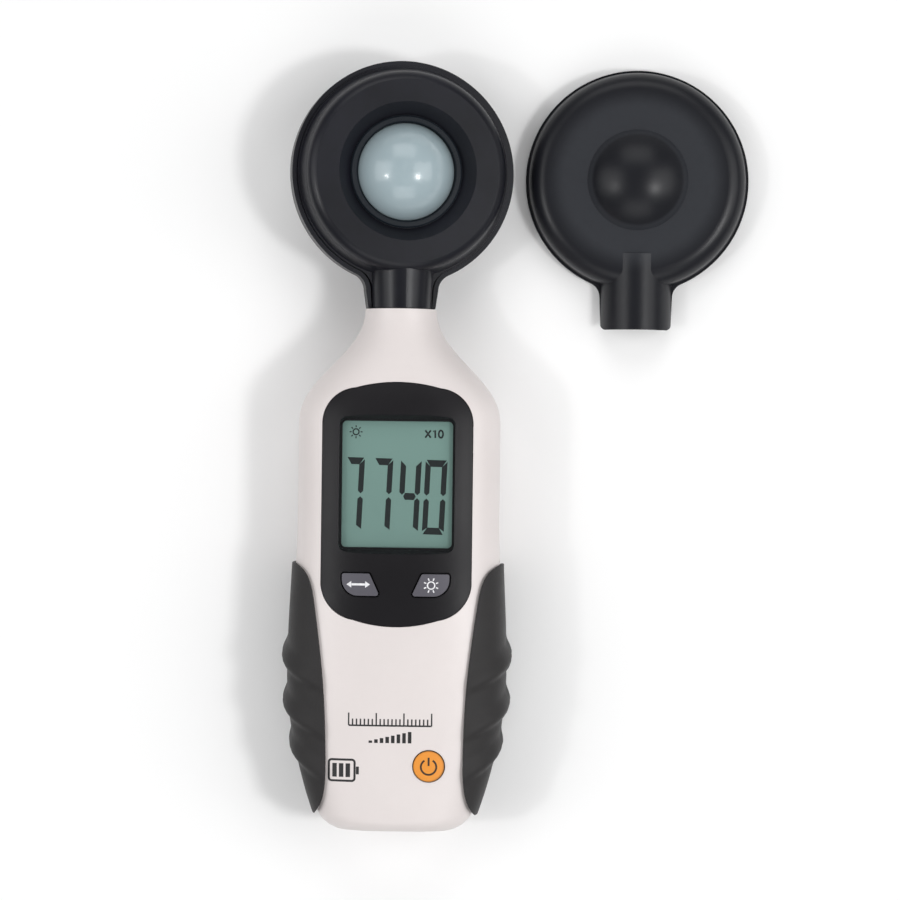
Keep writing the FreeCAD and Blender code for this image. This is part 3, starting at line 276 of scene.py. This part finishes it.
def display_cell(name, colour, shadow_x, shadow_y):
    """Reflective liquid-crystal cell: grey-green, with a painted sheen that lightens it towards the head
    end, and the painted shadow of its edges, which fades over the two widths given."""
    f = Finish(name)
    fine = f.noise(0.22, 3.0, 0.6)
    cloud = f.noise(11.0, 2.0, 0.5)
    centre = middle("lcd_window")
    half = half_of("lcd_window")
    # painted shadow: the cell darkens near the window's edges
    across = (f.along(0) - centre.x).size().between(half.x - shadow_x, half.x)
    down = (f.along(1) - centre.y).size().between(half.y - shadow_y, half.y)
    edge = 1 - (1 - across) * (1 - down)
    # painted sheen: the cell is made lighter towards the head end
    slant = ((f.along(1) - centre.y) * 0.03 + 0.5).between(0.0, 1.0)
    base = f.blend(slant, shade(colour, 0.96), shade(colour, 1.04))
    base = f.blend(cloud * 0.12, base, shade(colour, 0.88))
    base = f.blend(edge * 0.16, base, shade(colour, 0.6))
    return f.surface(Base_Color=base, Roughness=0.42 + fine * 0.1, Normal=f.relief(fine, 0.004),
                     Specular_IOR_Level=0.3)


def clear_pane(name):
    """Clear window with a hard coat, a few hairlines and a trace of dust."""
    f = Finish(name)
    dust = f.noise(0.7, 4.0, 0.7).between(0.62, 0.85)
    hair = f.noise(1.0, 2.0, 0.5, f.stretched(0.16, 6.0, 6.0)).between(0.7, 0.76)
    gloss = 0.05 + dust * 0.25 + hair * 0.2
    veil = 0.10 + dust * 0.05 + hair * 0.03
    return f.surface(Base_Color=(0.05, 0.06, 0.06), Roughness=gloss, Alpha=veil, IOR=1.49)


def metal(name, colour, rough, run=(0.12, 5.0, 5.0)):
    """Plain metal, drawn or turned: fine lines along its length and slight tarnish."""
    f = Finish(name)
    lines = f.noise(1.0, 3.0, 0.6, f.stretched(*run))
    tarnish = f.noise(2.6, 4.0, 0.6)
    base = f.blend(lines, shade(colour, 0.82), shade(colour, 1.15))
    base = f.blend(tarnish.between(0.55, 0.85) * 0.35, base, shade(colour, 0.55))
    gloss = rough - 0.06 + lines * 0.1 + tarnish * 0.08
    return f.surface(Base_Color=base, Metallic=1.0, Roughness=gloss, Normal=f.relief(lines, 0.006))


def circuit(name, colour, pitch=1.9):
    """Circuit board: solder resist with tracks that run under it, and tinned vias."""
    f = Finish(name)
    wander = f.noise(7.0, 2.0, 0.5)
    lane = (f.along(0) + wander * 6.0) / pitch
    track = (lane.zigzag(0.5) * 2).between(0.52, 0.6)
    via = 1 - f.cells(pitch * 1.8).between(0.09, 0.13)
    weave = f.noise(0.35, 2.0)
    base = f.blend(track, colour, shade(colour, 1.9))
    base = f.blend(weave * 0.2, base, shade(colour, 0.6))
    base = f.blend(via, base, (0.72, 0.72, 0.68))
    return f.surface(Base_Color=base, Roughness=0.34 + weave * 0.12, Metallic=via * 0.8,
                     Normal=f.relief(track * 0.6 + via * 0.4 + weave * 0.1, 0.035), Coat_Weight=0.2)


def cell_jacket(name):
    """Printed jacket of a plain cell: a copper-coloured band at the positive end and bare ends."""
    f = Finish(name)
    length = f.along(1)
    low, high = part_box("cell_middle")
    foot, tip = low.y / MM, high.y / MM
    band = length.between(tip - 15.2, tip - 15.0)
    bare = 1 - length.between(foot + 0.5, foot + 0.6) * (1 - length.between(tip - 1.5, tip - 1.4))
    line = (length - (tip - 15.8)).size().between(0.2, 0.3)
    grain = f.noise(0.4, 3.0)
    base = f.blend(grain, (0.018, 0.018, 0.021), (0.03, 0.03, 0.034))
    base = f.blend(band, base, (0.55, 0.27, 0.09))
    base = f.blend(1 - line, base, (0.75, 0.75, 0.74))
    base = f.blend(bare, base, (0.66, 0.65, 0.62))
    return f.surface(Base_Color=base, Roughness=0.28 + grain * 0.12, Metallic=bare * 0.9 + band * 0.3,
                     Normal=f.relief(grain, 0.006), Coat_Weight=0.3)


def insulation(name, colour):
    """Insulated wire: soft plastic with faint drawing lines."""
    f = Finish(name)
    lines = f.noise(1.0, 3.0, 0.6, f.stretched(0.12, 3.0, 0.12))
    base = f.blend(lines, shade(colour, 0.8), shade(colour, 1.2))
    return f.surface(Base_Color=base, Roughness=0.36 + lines * 0.14, Normal=f.relief(lines, 0.01))


def striped_rubber(name):
    """Contact strip: thin dark and pale layers across its length."""
    f = Finish(name)
    wave = f.along(0).zigzag(0.09) * 11.0
    grain = f.noise(0.5, 2.0)
    base = f.blend(wave.between(0.35, 0.65), (0.09, 0.06, 0.06), (0.66, 0.46, 0.44))
    return f.surface(Base_Color=base, Roughness=0.5 + grain * 0.15, Normal=f.relief(grain, 0.01))


def silicon(name):
    """Photodiode: a dark blue die with fine metal fingers, in a clear-topped package."""
    f = Finish(name)
    centre = middle("photodiode")
    away_x = (f.along(0) - centre.x).size()
    away_y = (f.along(1) - centre.y).size()
    inside = (1 - away_x.between(3.2, 3.35)) * (1 - away_y.between(3.2, 3.35))
    finger = (f.along(0).zigzag(0.4) * 2.5).between(0.86, 0.94)
    grain = f.noise(0.6, 3.0)
    base = f.blend(grain, (0.020, 0.024, 0.060), (0.032, 0.040, 0.105))
    base = f.blend(finger * 0.8, base, (0.55, 0.56, 0.58))
    base = f.blend(inside, (0.62, 0.60, 0.55), base)
    return f.surface(Base_Color=base, Roughness=0.22 + grain * 0.1, Normal=f.relief(grain, 0.004),
                     Coat_Weight=0.5)


def filter_glass(name):
    """Green absorbing glass with a slightly seedy body."""
    f = Finish(name)
    seed = f.noise(1.3, 3.0, 0.6)
    base = f.blend(seed, (0.22, 0.42, 0.30), (0.30, 0.52, 0.38))
    return f.surface(Base_Color=base, Roughness=0.05 + seed * 0.08, Alpha=0.6, IOR=1.52)


def foil_label(name):
    """Blank foil label: brushed silver film with a thin printed border."""
    f = Finish(name)
    centre, half = middle("rating_label"), half_of("rating_label")
    lines = f.noise(1.0, 3.0, 0.6, f.stretched(6.0, 0.1, 6.0))
    from_side = half.x - (f.along(0) - centre.x).size()
    from_end = half.y - (f.along(1) - centre.y).size()
    inset = from_side.least(from_end)
    border = inset.between(0.7, 0.76) * (1 - inset.between(1.0, 1.06))
    base = f.blend(lines, (0.46, 0.47, 0.49), (0.66, 0.67, 0.69))
    base = f.blend(border, base, (0.03, 0.03, 0.035))
    return f.surface(Base_Color=base, Roughness=0.3 + lines * 0.15, Metallic=0.55,
                     Normal=f.relief(lines, 0.004))


def orange_key(name, colour, rim_shade_from, rim_shade_to):
    """Orange key: satin top, painted shade darkening its rim, and a trace of wear in its middle."""
    f = Finish(name)
    centre = middle("power_plunger")
    away = f.distance(centre.x, centre.y, top_of("power_key"))
    # painted shade: the key's rim is darkened, standing in for the shadow in the gap round the key
    painted_rim_shade = away.between(rim_shade_from, rim_shade_to)
    worn = 1 - away.between(0.5, 3.0)
    fine = f.noise(0.35, 3.0, 0.6)
    cloud = f.noise(3.0, 3.0)
    base = f.blend(painted_rim_shade, colour, shade(colour, 0.42))
    base = f.blend(cloud * 0.2, base, shade(colour, 1.12))
    return f.surface(Base_Color=base, Roughness=0.38 + fine * 0.08 - worn * 0.06 + painted_rim_shade * 0.06,
                     Normal=f.relief(fine, 0.008), Specular_IOR_Level=0.45)


def ink(name, colour, rough=0.45):
    """Printed ink: slightly uneven coverage and a soft gloss."""
    f = Finish(name)
    patch = f.noise(1.1, 4.0, 0.7)
    fine = f.noise(0.12, 2.0)
    base = f.blend(patch.between(0.3, 0.8), shade(colour, 0.85), shade(colour, 1.25))
    return f.surface(Base_Color=base, Roughness=rough + fine * 0.1, Normal=f.relief(fine, 0.003))


BODY_WHITE = (0.715, 0.662, 0.650)
BLACK = (0.0080, 0.0085, 0.0115)
HEAD_TINT = (0.0100, 0.0105, 0.0165)
# painted sheen: the lighter colour of the cap's flat, standing in for the light it mirrors
CAP_PAINTED_SHEEN = (0.0250, 0.0270, 0.0325)
CAP_R = 28.9                # radius of the cap's disc
CAP_DOME_Z = 6.9            # height of the middle of its dome
CAP_MIDDLE = (middle("sensor_cap").x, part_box("sensor_cap")[1].y / MM - CAP_R, CAP_DOME_Z)
FINISH = {
    "case_white": moulding("moulded_white", BODY_WHITE, rough=0.42, grain=0.30, depth=0.010,
                           mottle=0.018, scuff=0.05),
    "head_black": moulding("moulded_black_head", BLACK, rough=0.33, grain=0.26, depth=0.006,
                           mottle=0.10, scuff=0.05, spec=0.27, tint=HEAD_TINT),
    "cap_black": cap_with_painted_sheen("moulded_black_cap", BLACK, CAP_PAINTED_SHEEN, CAP_MIDDLE, dome=(12.1, 12.7),
                            flat=(18.5, 24.5)),
    "bezel_black": moulding("grained_black", (0.0095, 0.0088, 0.0105), rough=0.40, grain=0.40,
                            depth=0.020, mottle=0.10, scuff=0.05, spec=0.20),
    "grip_rubber": soft_rubber("grip_rubber", (0.0200, 0.0186, 0.0190), held_from=24.5, held_to=28.5),
    "dome_opal": opal("opal_diffuser", (0.335, 0.415, 0.445), tuple(middle("diffuser_dome")),
                      rim_shade_from=9.0, rim_shade_to=14.5),
    "ring_black": moulding("ring_black", (0.0080, 0.0115, 0.0165), rough=0.30, grain=0.22, depth=0.004,
                           mottle=0.08, scuff=0.03, spec=0.3),
    "key_grey": moulding("key_grey", (0.098, 0.094, 0.112), rough=0.44, grain=0.30, depth=0.012,
                         mottle=0.06, scuff=0.03, spec=0.35),
    "power_orange": orange_key("key_orange", (0.77, 0.285, 0.036), rim_shade_from=3.45, rim_shade_to=4.1),
    "window_clear": clear_pane("window_clear"),
    "display_grey_green": display_cell("display_grey_green", (0.222, 0.372, 0.332), shadow_x=3.2,
                                       shadow_y=2.6),
    "light_panel": moulding("light_panel", (0.78, 0.80, 0.78), rough=0.25, grain=0.8, depth=0.01,
                            mottle=0.03, scuff=0.02),
    "frame_white": moulding("frame_white", (0.70, 0.70, 0.68), rough=0.45, grain=0.4, depth=0.01,
                            mottle=0.03),
    "strip_pink": striped_rubber("contact_layers"),
    "board_green": circuit("board_green", (0.012, 0.085, 0.030)),
    "chip_black": moulding("chip_black", (0.014, 0.014, 0.016), rough=0.55, grain=0.18, depth=0.01,
                           mottle=0.15, scuff=0.02),
    "can_metal": metal("can_metal", (0.72, 0.73, 0.75), 0.34),
    "screw_steel": metal("screw_steel", (0.56, 0.57, 0.60), 0.33, (0.3, 0.3, 0.15)),
    "contact_nickel": metal("contact_nickel", (0.70, 0.68, 0.64), 0.24, (5.0, 5.0, 0.12)),
    "cell_jacket": cell_jacket("cell_jacket"),
    "insert_brass": metal("insert_brass", (0.72, 0.53, 0.24), 0.30, (2.0, 2.0, 0.14)),
    "label_silver": foil_label("label_silver"),
    "lead_red": insulation("lead_red", (0.55, 0.030, 0.022)),
    "lead_black": insulation("lead_black", (0.018, 0.018, 0.020)),
    "switch_black": moulding("switch_black", (0.022, 0.022, 0.025), rough=0.42, grain=0.3, depth=0.008,
                             mottle=0.1, scuff=0.03),
    "plunger_white": moulding("plunger_white", (0.74, 0.74, 0.72), rough=0.4, grain=0.3, depth=0.008,
                              mottle=0.03, scuff=0.03),
    "socket_white": moulding("socket_white", (0.74, 0.72, 0.64), rough=0.42, grain=0.3, depth=0.008,
                             mottle=0.03, scuff=0.03),
    "washer_nylon": moulding("washer_nylon", (0.78, 0.78, 0.74), rough=0.4, grain=0.3, depth=0.008,
                             mottle=0.03, scuff=0.03),
    "silicon_blue": silicon("silicon_blue"),
    "filter_glass": filter_glass("filter_glass"),
}
for entry in frame["record"]["subparts"]:
    slots = NODES[entry["node"]].data.materials
    slots.clear()
    slots.append(FINISH[entry["material_slot"]])

INK_DARK = ink("ink_dark", (0.012, 0.012, 0.013))
INK_WHITE = ink("ink_white", (0.78, 0.78, 0.80))
INK_BROWN = ink("ink_brown", (0.030, 0.014, 0.006))
SEGMENT = ink("display_segment", (0.0045, 0.0085, 0.0095), 0.35)


# ------------------------------------------------------------------ the case's front, as a surface
PART_Z = 15.2
SHOULDER_TOP_Y, SHOULDER_Y, COLLAR_R = 62.0, 29.5, 9.1
BODY_W, WAIST_W, WAIST_Y = 25.8, 27.1, -32.0
TAPER, BODY_TOP, FRONT_POWER = 0.0055, 14.8, 2.9
WAIST_RUN = 40.0                                # length over which the waist narrows to the body
FALL_Y, FALL = -10.0, 0.0009                    # below this Y, the front falls away towards the foot


def case_front(x, y, grow=0.0):
    """Height of the case's front over (x, y), in millimetres: each cross-section is half a superellipse
    whose half width and height widen with a smooth step from the round collar to the body."""
    t = np.clip((SHOULDER_TOP_Y - y) / (SHOULDER_TOP_Y - SHOULDER_Y), 0, 1)
    step = t ** 3 * (t * (6 * t - 15) + 10)
    u = np.clip((y - WAIST_Y) / WAIST_RUN, 0, 1)
    wide = np.where(y < WAIST_Y, WAIST_W - TAPER * (y - WAIST_Y) ** 2,
                    WAIST_W - (WAIST_W - BODY_W) * u * u * (3 - 2 * u))
    tall = BODY_TOP - np.where(y < FALL_Y, FALL * (y - FALL_Y) ** 2, 0.0)
    half = COLLAR_R + (wide - COLLAR_R) * step + grow
    height = COLLAR_R + (tall - COLLAR_R) * step + grow
    power = 2 + (FRONT_POWER - 2) * step
    return PART_Z + height * np.clip(1 - (np.abs(x) / half) ** power, 0, 1) ** (1 / power)


def flat_at(z):
    """A flat surface at that height."""
    return lambda x, y: np.full(np.shape(x), float(z))


def key_face(grow):
    """The case's front raised by that much, where a key's top lies."""
    return lambda x, y: case_front(x, y, grow)


# ------------------------------------------------------------------ small raised shapes
# How far a print stands above the surface it is on and reaches below it, in millimetres.
ON_GLASS = (0.03, 0.02)
ON_KEY = (0.05, 0.10)
ON_CASE = (0.03, 0.08)


class Sheet:
    """Collects closed pieces into one mesh."""

    def __init__(self):
        self.points = []
        self.faces = []
        self.count = 0

    def add(self, points, faces):
        """Adds one closed piece, its faces numbered from its own first point."""
        self.points.append(np.asarray(points, float))
        self.faces += [tuple(int(i) + self.count for i in face) for face in faces]
        self.count += len(points)

    def finish(self, name, body, slot, material):
        """Makes the mesh, in metres, and gives it its name, body and material. The slot is not used."""
        mesh = bpy.data.meshes.new(name)
        mesh.from_pydata((np.concatenate(self.points) * MM).tolist(), [], self.faces)
        mesh.validate()
        mesh.materials.append(material)
        piece = bpy.data.objects.new(name, mesh)
        bpy.context.scene.collection.objects.link(piece)
        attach(piece, body)


def grid_faces(rows, columns, wrap_rows):
    """Quads of a grid whose columns close on themselves, and whose rows do too if wrap_rows is true."""
    i, j = np.meshgrid(np.arange(rows if wrap_rows else rows - 1), np.arange(columns), indexing="ij")
    k = (i + 1) % rows
    m = (j + 1) % columns
    quads = np.stack([i * columns + j, i * columns + m, k * columns + m, k * columns + j], -1)
    return quads.reshape(-1, 4).tolist()


def stroke(sheet, path, width, ground, lift, sink, closed=False):
    """A bevelled strip: a six-sided profile carried along a path, standing on the ground surface."""
    bevel, shoulder = 0.78, 0.6
    path = np.asarray(path, float)
    way = np.roll(path, -1, 0) - np.roll(path, 1, 0) if closed else np.gradient(path, axis=0)
    way /= np.linalg.norm(way, axis=1, keepdims=True)
    side = np.stack([way[:, 1], -way[:, 0]], 1)
    across = np.array([-1.0, -1.0, -bevel, bevel, 1.0, 1.0]) * width / 2
    height = np.array([-sink, lift * shoulder, lift, lift, lift * shoulder, -sink])
    flat = path[:, None, :] + side[:, None, :] * across[None, :, None]
    z = ground(flat[..., 0], flat[..., 1]) + height[None, :]
    points = np.concatenate([flat, z[..., None]], -1).reshape(-1, 3)
    faces = grid_faces(len(path), 6, closed)
    if not closed:
        last = (len(path) - 1) * 6
        faces += [list(range(5, -1, -1)), list(range(last, last + 6))]
    sheet.add(points, faces)


def tile(sheet, outline, ground, lift, sink, edge):
    """A bevelled tile: an outline carried up from below the ground surface, drawn in at its top."""
    outline = np.asarray(outline, float)
    ahead = np.roll(outline, -1, 0) - outline
    behind = outline - np.roll(outline, 1, 0)
    ahead /= np.linalg.norm(ahead, axis=1, keepdims=True)
    behind /= np.linalg.norm(behind, axis=1, keepdims=True)
    inward = np.stack([-(ahead + behind)[:, 1], (ahead + behind)[:, 0]], 1)
    inward /= np.linalg.norm(inward, axis=1, keepdims=True)
    rings = [outline, outline, outline + inward * edge]
    levels = [-sink, lift * 0.5, lift]
    points = np.concatenate([np.column_stack([ring, ground(ring[:, 0], ring[:, 1]) + level])
                             for ring, level in zip(rings, levels)])
    n = len(outline)
    faces = grid_faces(3, n, False)
    faces += [list(range(n - 1, -1, -1)), list(range(2 * n, 3 * n))]
    sheet.add(points, faces)


def arc(x, y, r, start, stop, steps):
    """Points round a centre from angle start to stop, in degrees."""
    a = np.radians(np.linspace(start, stop, steps))
    return np.column_stack([x + r * np.cos(a), y + r * np.sin(a)])


def circle(x, y, r, steps):
    """Points evenly spaced round a whole circle."""
    return arc(x, y, r, 0, 360 - 360 / steps, steps)


def straight(x0, y0, x1, y1, steps=2):
    """Points evenly spaced on a straight line."""
    t = np.linspace(0, 1, steps)[:, None]
    return np.array([[x0, y0]]) * (1 - t) + np.array([[x1, y1]]) * t


def block(x0, x1, y0, y1):
    """Corners of a rectangle, counter-clockwise."""
    return np.array([[x0, y0], [x1, y0], [x1, y1], [x0, y1]])


# ------------------------------------------------------------------ display
def segments(left, right, low, high, thick, bar):
    """The seven bars of a digit, as outlines, keyed a to g clockwise from the top, g in the middle.
    The upright bars are thick across and the level ones bar tall."""
    gap = 0.2
    mid = (low + high) / 2
    tip = thick * 0.75                 # where the point of an upright bar starts
    dip = gap * 1.8                    # where it ends
    run = bar * 0.62 + gap             # how far in the slanted end of a level bar reaches
    rise = bar * 0.9 + gap             # how far from the end an upright bar's inner edge starts
    top_cut, low_cut = gap + 0.2, gap + 0.6
    notch = thick + gap * 0.6
    point = thick * 0.6 + gap
    half = thick / 2
    return {
        "a": [(left + gap, high), (left + run, high - bar), (right - run, high - bar),
              (right - gap, high)],
        "d": [(left + gap, low), (right - gap, low), (right - run, low + bar),
              (left + run, low + bar)],
        "b": [(right, high - top_cut), (right - thick, high - rise), (right - thick, mid + tip),
              (right - half, mid + dip), (right, mid + tip)],
        "c": [(right, low + low_cut), (right, mid - tip), (right - half, mid - dip),
              (right - thick, mid - tip), (right - thick, low + rise)],
        "f": [(left, high - top_cut), (left, mid + tip), (left + half, mid + dip),
              (left + thick, mid + tip), (left + thick, high - rise)],
        "e": [(left, low + low_cut), (left + thick, low + rise), (left + thick, mid - tip),
              (left + half, mid - dip), (left, mid - tip)],
        "g": [(left + notch, mid + bar / 2), (left + point, mid), (left + notch, mid - bar / 2),
              (right - notch, mid - bar / 2), (right - point, mid), (right - notch, mid + bar / 2)],
    }


def leaned(outline, centre, slant, turn):
    """Leans an outline to the right and turns it, about a centre."""
    p = np.asarray(outline, float) - centre
    p[:, 0] += p[:, 1] * math.tan(math.radians(slant))
    c = math.cos(math.radians(turn))
    s = math.sin(math.radians(turn))
    return p @ np.array([[c, s], [-s, c]]) + centre


def lamp_sign(sheet, x, y, ground, depth, ring, rays):
    """A ring with eight rays. The ring has a radius, a width and a number of points; the rays have
    a start, an end, a width and the angle of the first one."""
    radius, ring_width, steps = ring
    start, end, ray_width, first = rays
    stroke(sheet, circle(x, y, radius, steps), ring_width, ground, *depth, closed=True)
    for k in range(8):
        a = math.radians(45 * k + first)
        c, s = math.cos(a), math.sin(a)
        ray = straight(x + start * c, y + start * s, x + end * c, y + end * s)
        stroke(sheet, ray, ray_width, ground, *depth)


DIGIT_HALF = 9.45                      # half the height of a digit
UPRIGHT, LEVEL = 1.36, 1.75            # widths of its upright and level bars
DIGITS = [(-13.3, -8.65, "abc"), (-6.25, -1.45, "abc"), (0.5, 5.75, "fgbc"), (6.75, 12.3, "abcdef")]
READING_DROP, SIGNS_RISE = 2.95, 13.2  # from the middle of the window to the digits and the signs
LEAN, TURN_OF_DIGITS = 1.2, -1.3       # degrees
SMALL_LINE = 0.46                      # width of the lines of the times-ten sign


def display_reading():
    """The reading: four leaning seven-bar digits, a small lamp sign and a times-ten sign."""
    sheet = Sheet()
    ground = flat_at(top_of("lcd_glass"))
    pane = middle("lcd_window")
    centre = np.array([pane.x, pane.y - READING_DROP])
    low, high = centre[1] - DIGIT_HALF, centre[1] + DIGIT_HALF
    for left, right, lit in DIGITS:
        bars = segments(left, right, low, high, UPRIGHT, LEVEL)
        for key in lit:
            tile(sheet, leaned(bars[key], centre, LEAN, TURN_OF_DIGITS), ground, *ON_GLASS, edge=0.02)
    sign_y = pane.y + SIGNS_RISE
    lamp_sign(sheet, -10.6, sign_y, ground, ON_GLASS, ring=(0.75, 0.34, 24), rays=(1.12, 1.65, 0.3, 0))
    sign_y -= 0.35
    lines = [straight(6.95, sign_y - 0.95, 8.35, sign_y + 0.95),
             straight(6.95, sign_y + 0.95, 7.5, sign_y + 0.2),
             straight(7.8, sign_y - 0.2, 8.35, sign_y - 0.95),
             [(8.95, sign_y + 0.62), (9.45, sign_y + 0.95), (9.5, sign_y - 1.0)]]
    for line in lines:
        stroke(sheet, line, SMALL_LINE, ground, *ON_GLASS)
    oval = circle(0, 0, 1, 24) * np.array([0.55, 0.92]) + np.array([10.9, sign_y])
    stroke(sheet, oval, SMALL_LINE, ground, *ON_GLASS, closed=True)
    sheet.finish("lcd_reading", "case", "chip_black", SEGMENT)


# ------------------------------------------------------------------ prints
SMALL_KEY_RISE, POWER_KEY_RISE = 0.75, 0.45     # how far the keys stand above the case's front


def key_signs():
    """White signs on the two small keys: a two-way arrow and a lamp."""
    ground = key_face(SMALL_KEY_RISE)
    left, right = middle("mode_plunger"), middle("backlight_plunger")
    sheet = Sheet()
    x, y, half = left.x - 0.45, left.y + 0.05, 3.0
    for side in (-1, 1):
        tip = np.array([[half, 0], [half - 1.25, 0.85], [half - 1.25, -0.85]]) * [side, 1] + [x, y]
        tile(sheet, tip if side > 0 else tip[::-1], ground, *ON_KEY, edge=0.04)
    reach = half - 1.3
    stroke(sheet, straight(x - reach, y, x + reach, y, 8), 0.55, ground, *ON_KEY)
    sheet.finish("mode_sign", "mode_button", "plunger_white", INK_WHITE)
    sheet = Sheet()
    lamp_sign(sheet, right.x + 0.05, right.y, ground, ON_KEY, ring=(0.92, 0.32, 30),
              rays=(1.3, 1.95, 0.32, 22.5))
    sheet.finish("backlight_sign", "backlight_button", "plunger_white", INK_WHITE)


def power_sign():
    """A broken ring with a bar through its gap, on the orange key."""
    ground = key_face(POWER_KEY_RISE)
    at = middle("power_plunger")
    line = 0.48
    sheet = Sheet()
    stroke(sheet, arc(at.x, at.y - 0.15, 1.95, 122, 418, 48), line, ground, *ON_KEY)
    stroke(sheet, straight(at.x, at.y + 0.15, at.x, at.y + 2.25, 4), line, ground, *ON_KEY)
    sheet.finish("power_sign", "power_button", "chip_black", INK_BROWN)


SCALE_LEFT, SCALE_RIGHT, SCALE_Y = -11.5, 9.5, -45.5
SCALE_STEPS, LONG_EVERY = 21, 7                 # steps of the scale, and how often a mark is long
BARS_X, BARS_PITCH, BAR_WIDTH = -6.4, 1.42, 0.9
CELL_X, CELL_Y, CELL_CORNER = (-16.5, -9.9), (-59.7, -54.3), 0.7


def case_prints():
    """Prints low on the case: a ruled light scale, a row of growing bars under it, and a cell sign."""
    sheet = Sheet()
    base = SCALE_Y
    stroke(sheet, straight(SCALE_LEFT, base, SCALE_RIGHT, base, 40), 0.42, case_front, *ON_CASE)
    for k in range(SCALE_STEPS + 1):
        x = SCALE_LEFT + (SCALE_RIGHT - SCALE_LEFT) * k / SCALE_STEPS
        tall = 1.7 if k % LONG_EVERY else 3.2
        stroke(sheet, straight(x, base, x, base + tall, 4), 0.36, case_front, *ON_CASE)
    for k in range(8):
        x = BARS_X + BARS_PITCH * k
        bar = block(x, x + BAR_WIDTH, base - 4.4, base - 3.8 + 0.33 * k)
        tile(sheet, bar, case_front, *ON_CASE, edge=0.04)
    (x0, x1), (y0, y1) = CELL_X, CELL_Y
    corner, in_x, in_y = CELL_CORNER, 1.6, 1.3
    outline = np.concatenate([
        arc(x1 - corner, y1 - corner, corner, 0, 90, 6), straight(x1 - in_x, y1, x0 + in_x, y1, 8),
        arc(x0 + corner, y1 - corner, corner, 90, 180, 6), straight(x0, y1 - in_y, x0, y0 + in_y, 5),
        arc(x0 + corner, y0 + corner, corner, 180, 270, 6), straight(x0 + in_x, y0, x1 - in_x, y0, 8),
        arc(x1 - corner, y0 + corner, corner, 270, 360, 6), straight(x1, y0 + in_y, x1, y1 - in_y, 5)])
    stroke(sheet, outline, 0.55, case_front, *ON_CASE, closed=True)
    tile(sheet, block(x1 + 0.35, x1 + 1.1, y0 + 1.7, y1 - 1.7), case_front, *ON_CASE, edge=0.04)
    for k in range(3):
        x = x0 + 0.9 + 1.7 * k
        level = block(x, x + 1.15, y0 + 0.95, y1 - 0.95)
        tile(sheet, level, case_front, *ON_CASE, edge=0.04)
    sheet.finish("case_prints", "case", "chip_black", INK_DARK)


display_reading()
key_signs()
power_sign()
case_prints()


# ------------------------------------------------------------------ floor, light and camera
FLOOR_X, FLOOR_Y = (-1.6, 1.6), (-1.4, 2.0)
SWEEP_FROM, SWEEP = 1.0, 0.35          # where the floor starts to rise, and how fast
FLOOR_DROP = 0.0003                    # how far the floor lies under the meter


def floor():
    """Plain pale floor. Its height is 0 up to a line, then grows with the square of the distance
    past that line."""
    n, m = 60, 40
    x, y = np.meshgrid(np.linspace(*FLOOR_X, n), np.linspace(*FLOOR_Y, m), indexing="ij")
    z = np.where(y > SWEEP_FROM, SWEEP * (y - SWEEP_FROM) ** 2, 0.0) - FLOOR_DROP
    points = np.stack([x, y, z], -1).reshape(-1, 3)
    i, j = np.meshgrid(np.arange(n - 1), np.arange(m - 1), indexing="ij")
    corners = [i * m + j, (i + 1) * m + j, (i + 1) * m + j + 1, i * m + j + 1]
    mesh = bpy.data.meshes.new("floor")
    mesh.from_pydata(points.tolist(), [], np.stack(corners, -1).reshape(-1, 4).tolist())
    f = Finish("floor_paper")
    cloud = f.noise(160.0, 2.0)
    fine = f.noise(0.8, 2.0)
    base = f.blend(cloud, (0.90, 0.90, 0.90), (0.92, 0.92, 0.92))
    paper = f.surface(Base_Color=base, Roughness=0.85 + fine * 0.1, Specular_IOR_Level=0.1)
    mesh.materials.append(paper)
    piece = bpy.data.objects.new("floor", mesh)
    bpy.context.scene.collection.objects.link(piece)


def softbox(name, place, aim, size, power):
    """A white rectangular light at a place, turned towards the aim. Power is in watts."""
    light = bpy.data.lights.new(name, "AREA")
    light.shape = "RECTANGLE"
    light.size, light.size_y = size
    light.energy = power
    lamp = bpy.data.objects.new(name, light)
    bpy.context.scene.collection.objects.link(lamp)
    lamp.location = place
    lamp.rotation_euler = (Vector(aim) - Vector(place)).to_track_quat("-Z", "Y").to_euler()


# Small softboxes give the highlights; the wide banks stand well off the vertical, so that the
# black faces that lie flat don't mirror them.
LIGHTS = [
    ("softbox_right", (0.62, -0.14, 0.92), (0.15, 0.15), 3.1),
    ("softbox_left", (-0.74, -0.12, 0.92), (0.10, 0.10), 1.5),
    ("bank_right", (1.15, 0.10, 1.10), (1.1, 1.2), 8.6),
    ("bank_left", (-1.15, 0.10, 1.10), (1.1, 1.2), 7.8),
    ("bank_head", (0.05, 1.35, 1.10), (1.4, 0.9), 7.2),
    ("bank_foot", (0.05, -1.25, 1.10), (1.4, 0.9), 6.4),
]
WORLD_LIGHT = 0.20

floor()
low, high = (Vector(corner) for corner in CAD_BOX)
for name, place, size, power in LIGHTS:
    softbox(name, place, (low + high) / 2, size, power)

world = bpy.data.worlds.new("studio")
bpy.context.scene.world = world
world.use_nodes = True
background = world.node_tree.nodes["Background"].inputs
background["Color"].default_value = (1.0, 1.0, 1.0, 1.0)
background["Strength"].default_value = WORLD_LIGHT

VIEW_WIDTH = 0.23085          # width of the view at the height of the parting plane
DISTANCE = 0.8848             # from the camera to the point it looks at
SENSOR = 36.0
TARGET = Vector((0.01295, 0.02437, PART_Z * MM))
TILT, ROLL = math.radians(1.5), math.radians(0.7)
TURN = Euler((0.0, TILT, ROLL))
camera = bpy.data.cameras.new("camera")
camera.sensor_width = SENSOR
camera.lens = SENSOR * DISTANCE / VIEW_WIDTH
holder = bpy.data.objects.new("camera", camera)
bpy.context.scene.collection.objects.link(holder)
holder.rotation_euler = TURN
holder.location = TARGET + DISTANCE * (TURN.to_matrix() @ Vector((0.0, 0.0, 1.0)))
bpy.context.scene.camera = holder
bpy.context.scene.view_settings.view_transform = "Standard"
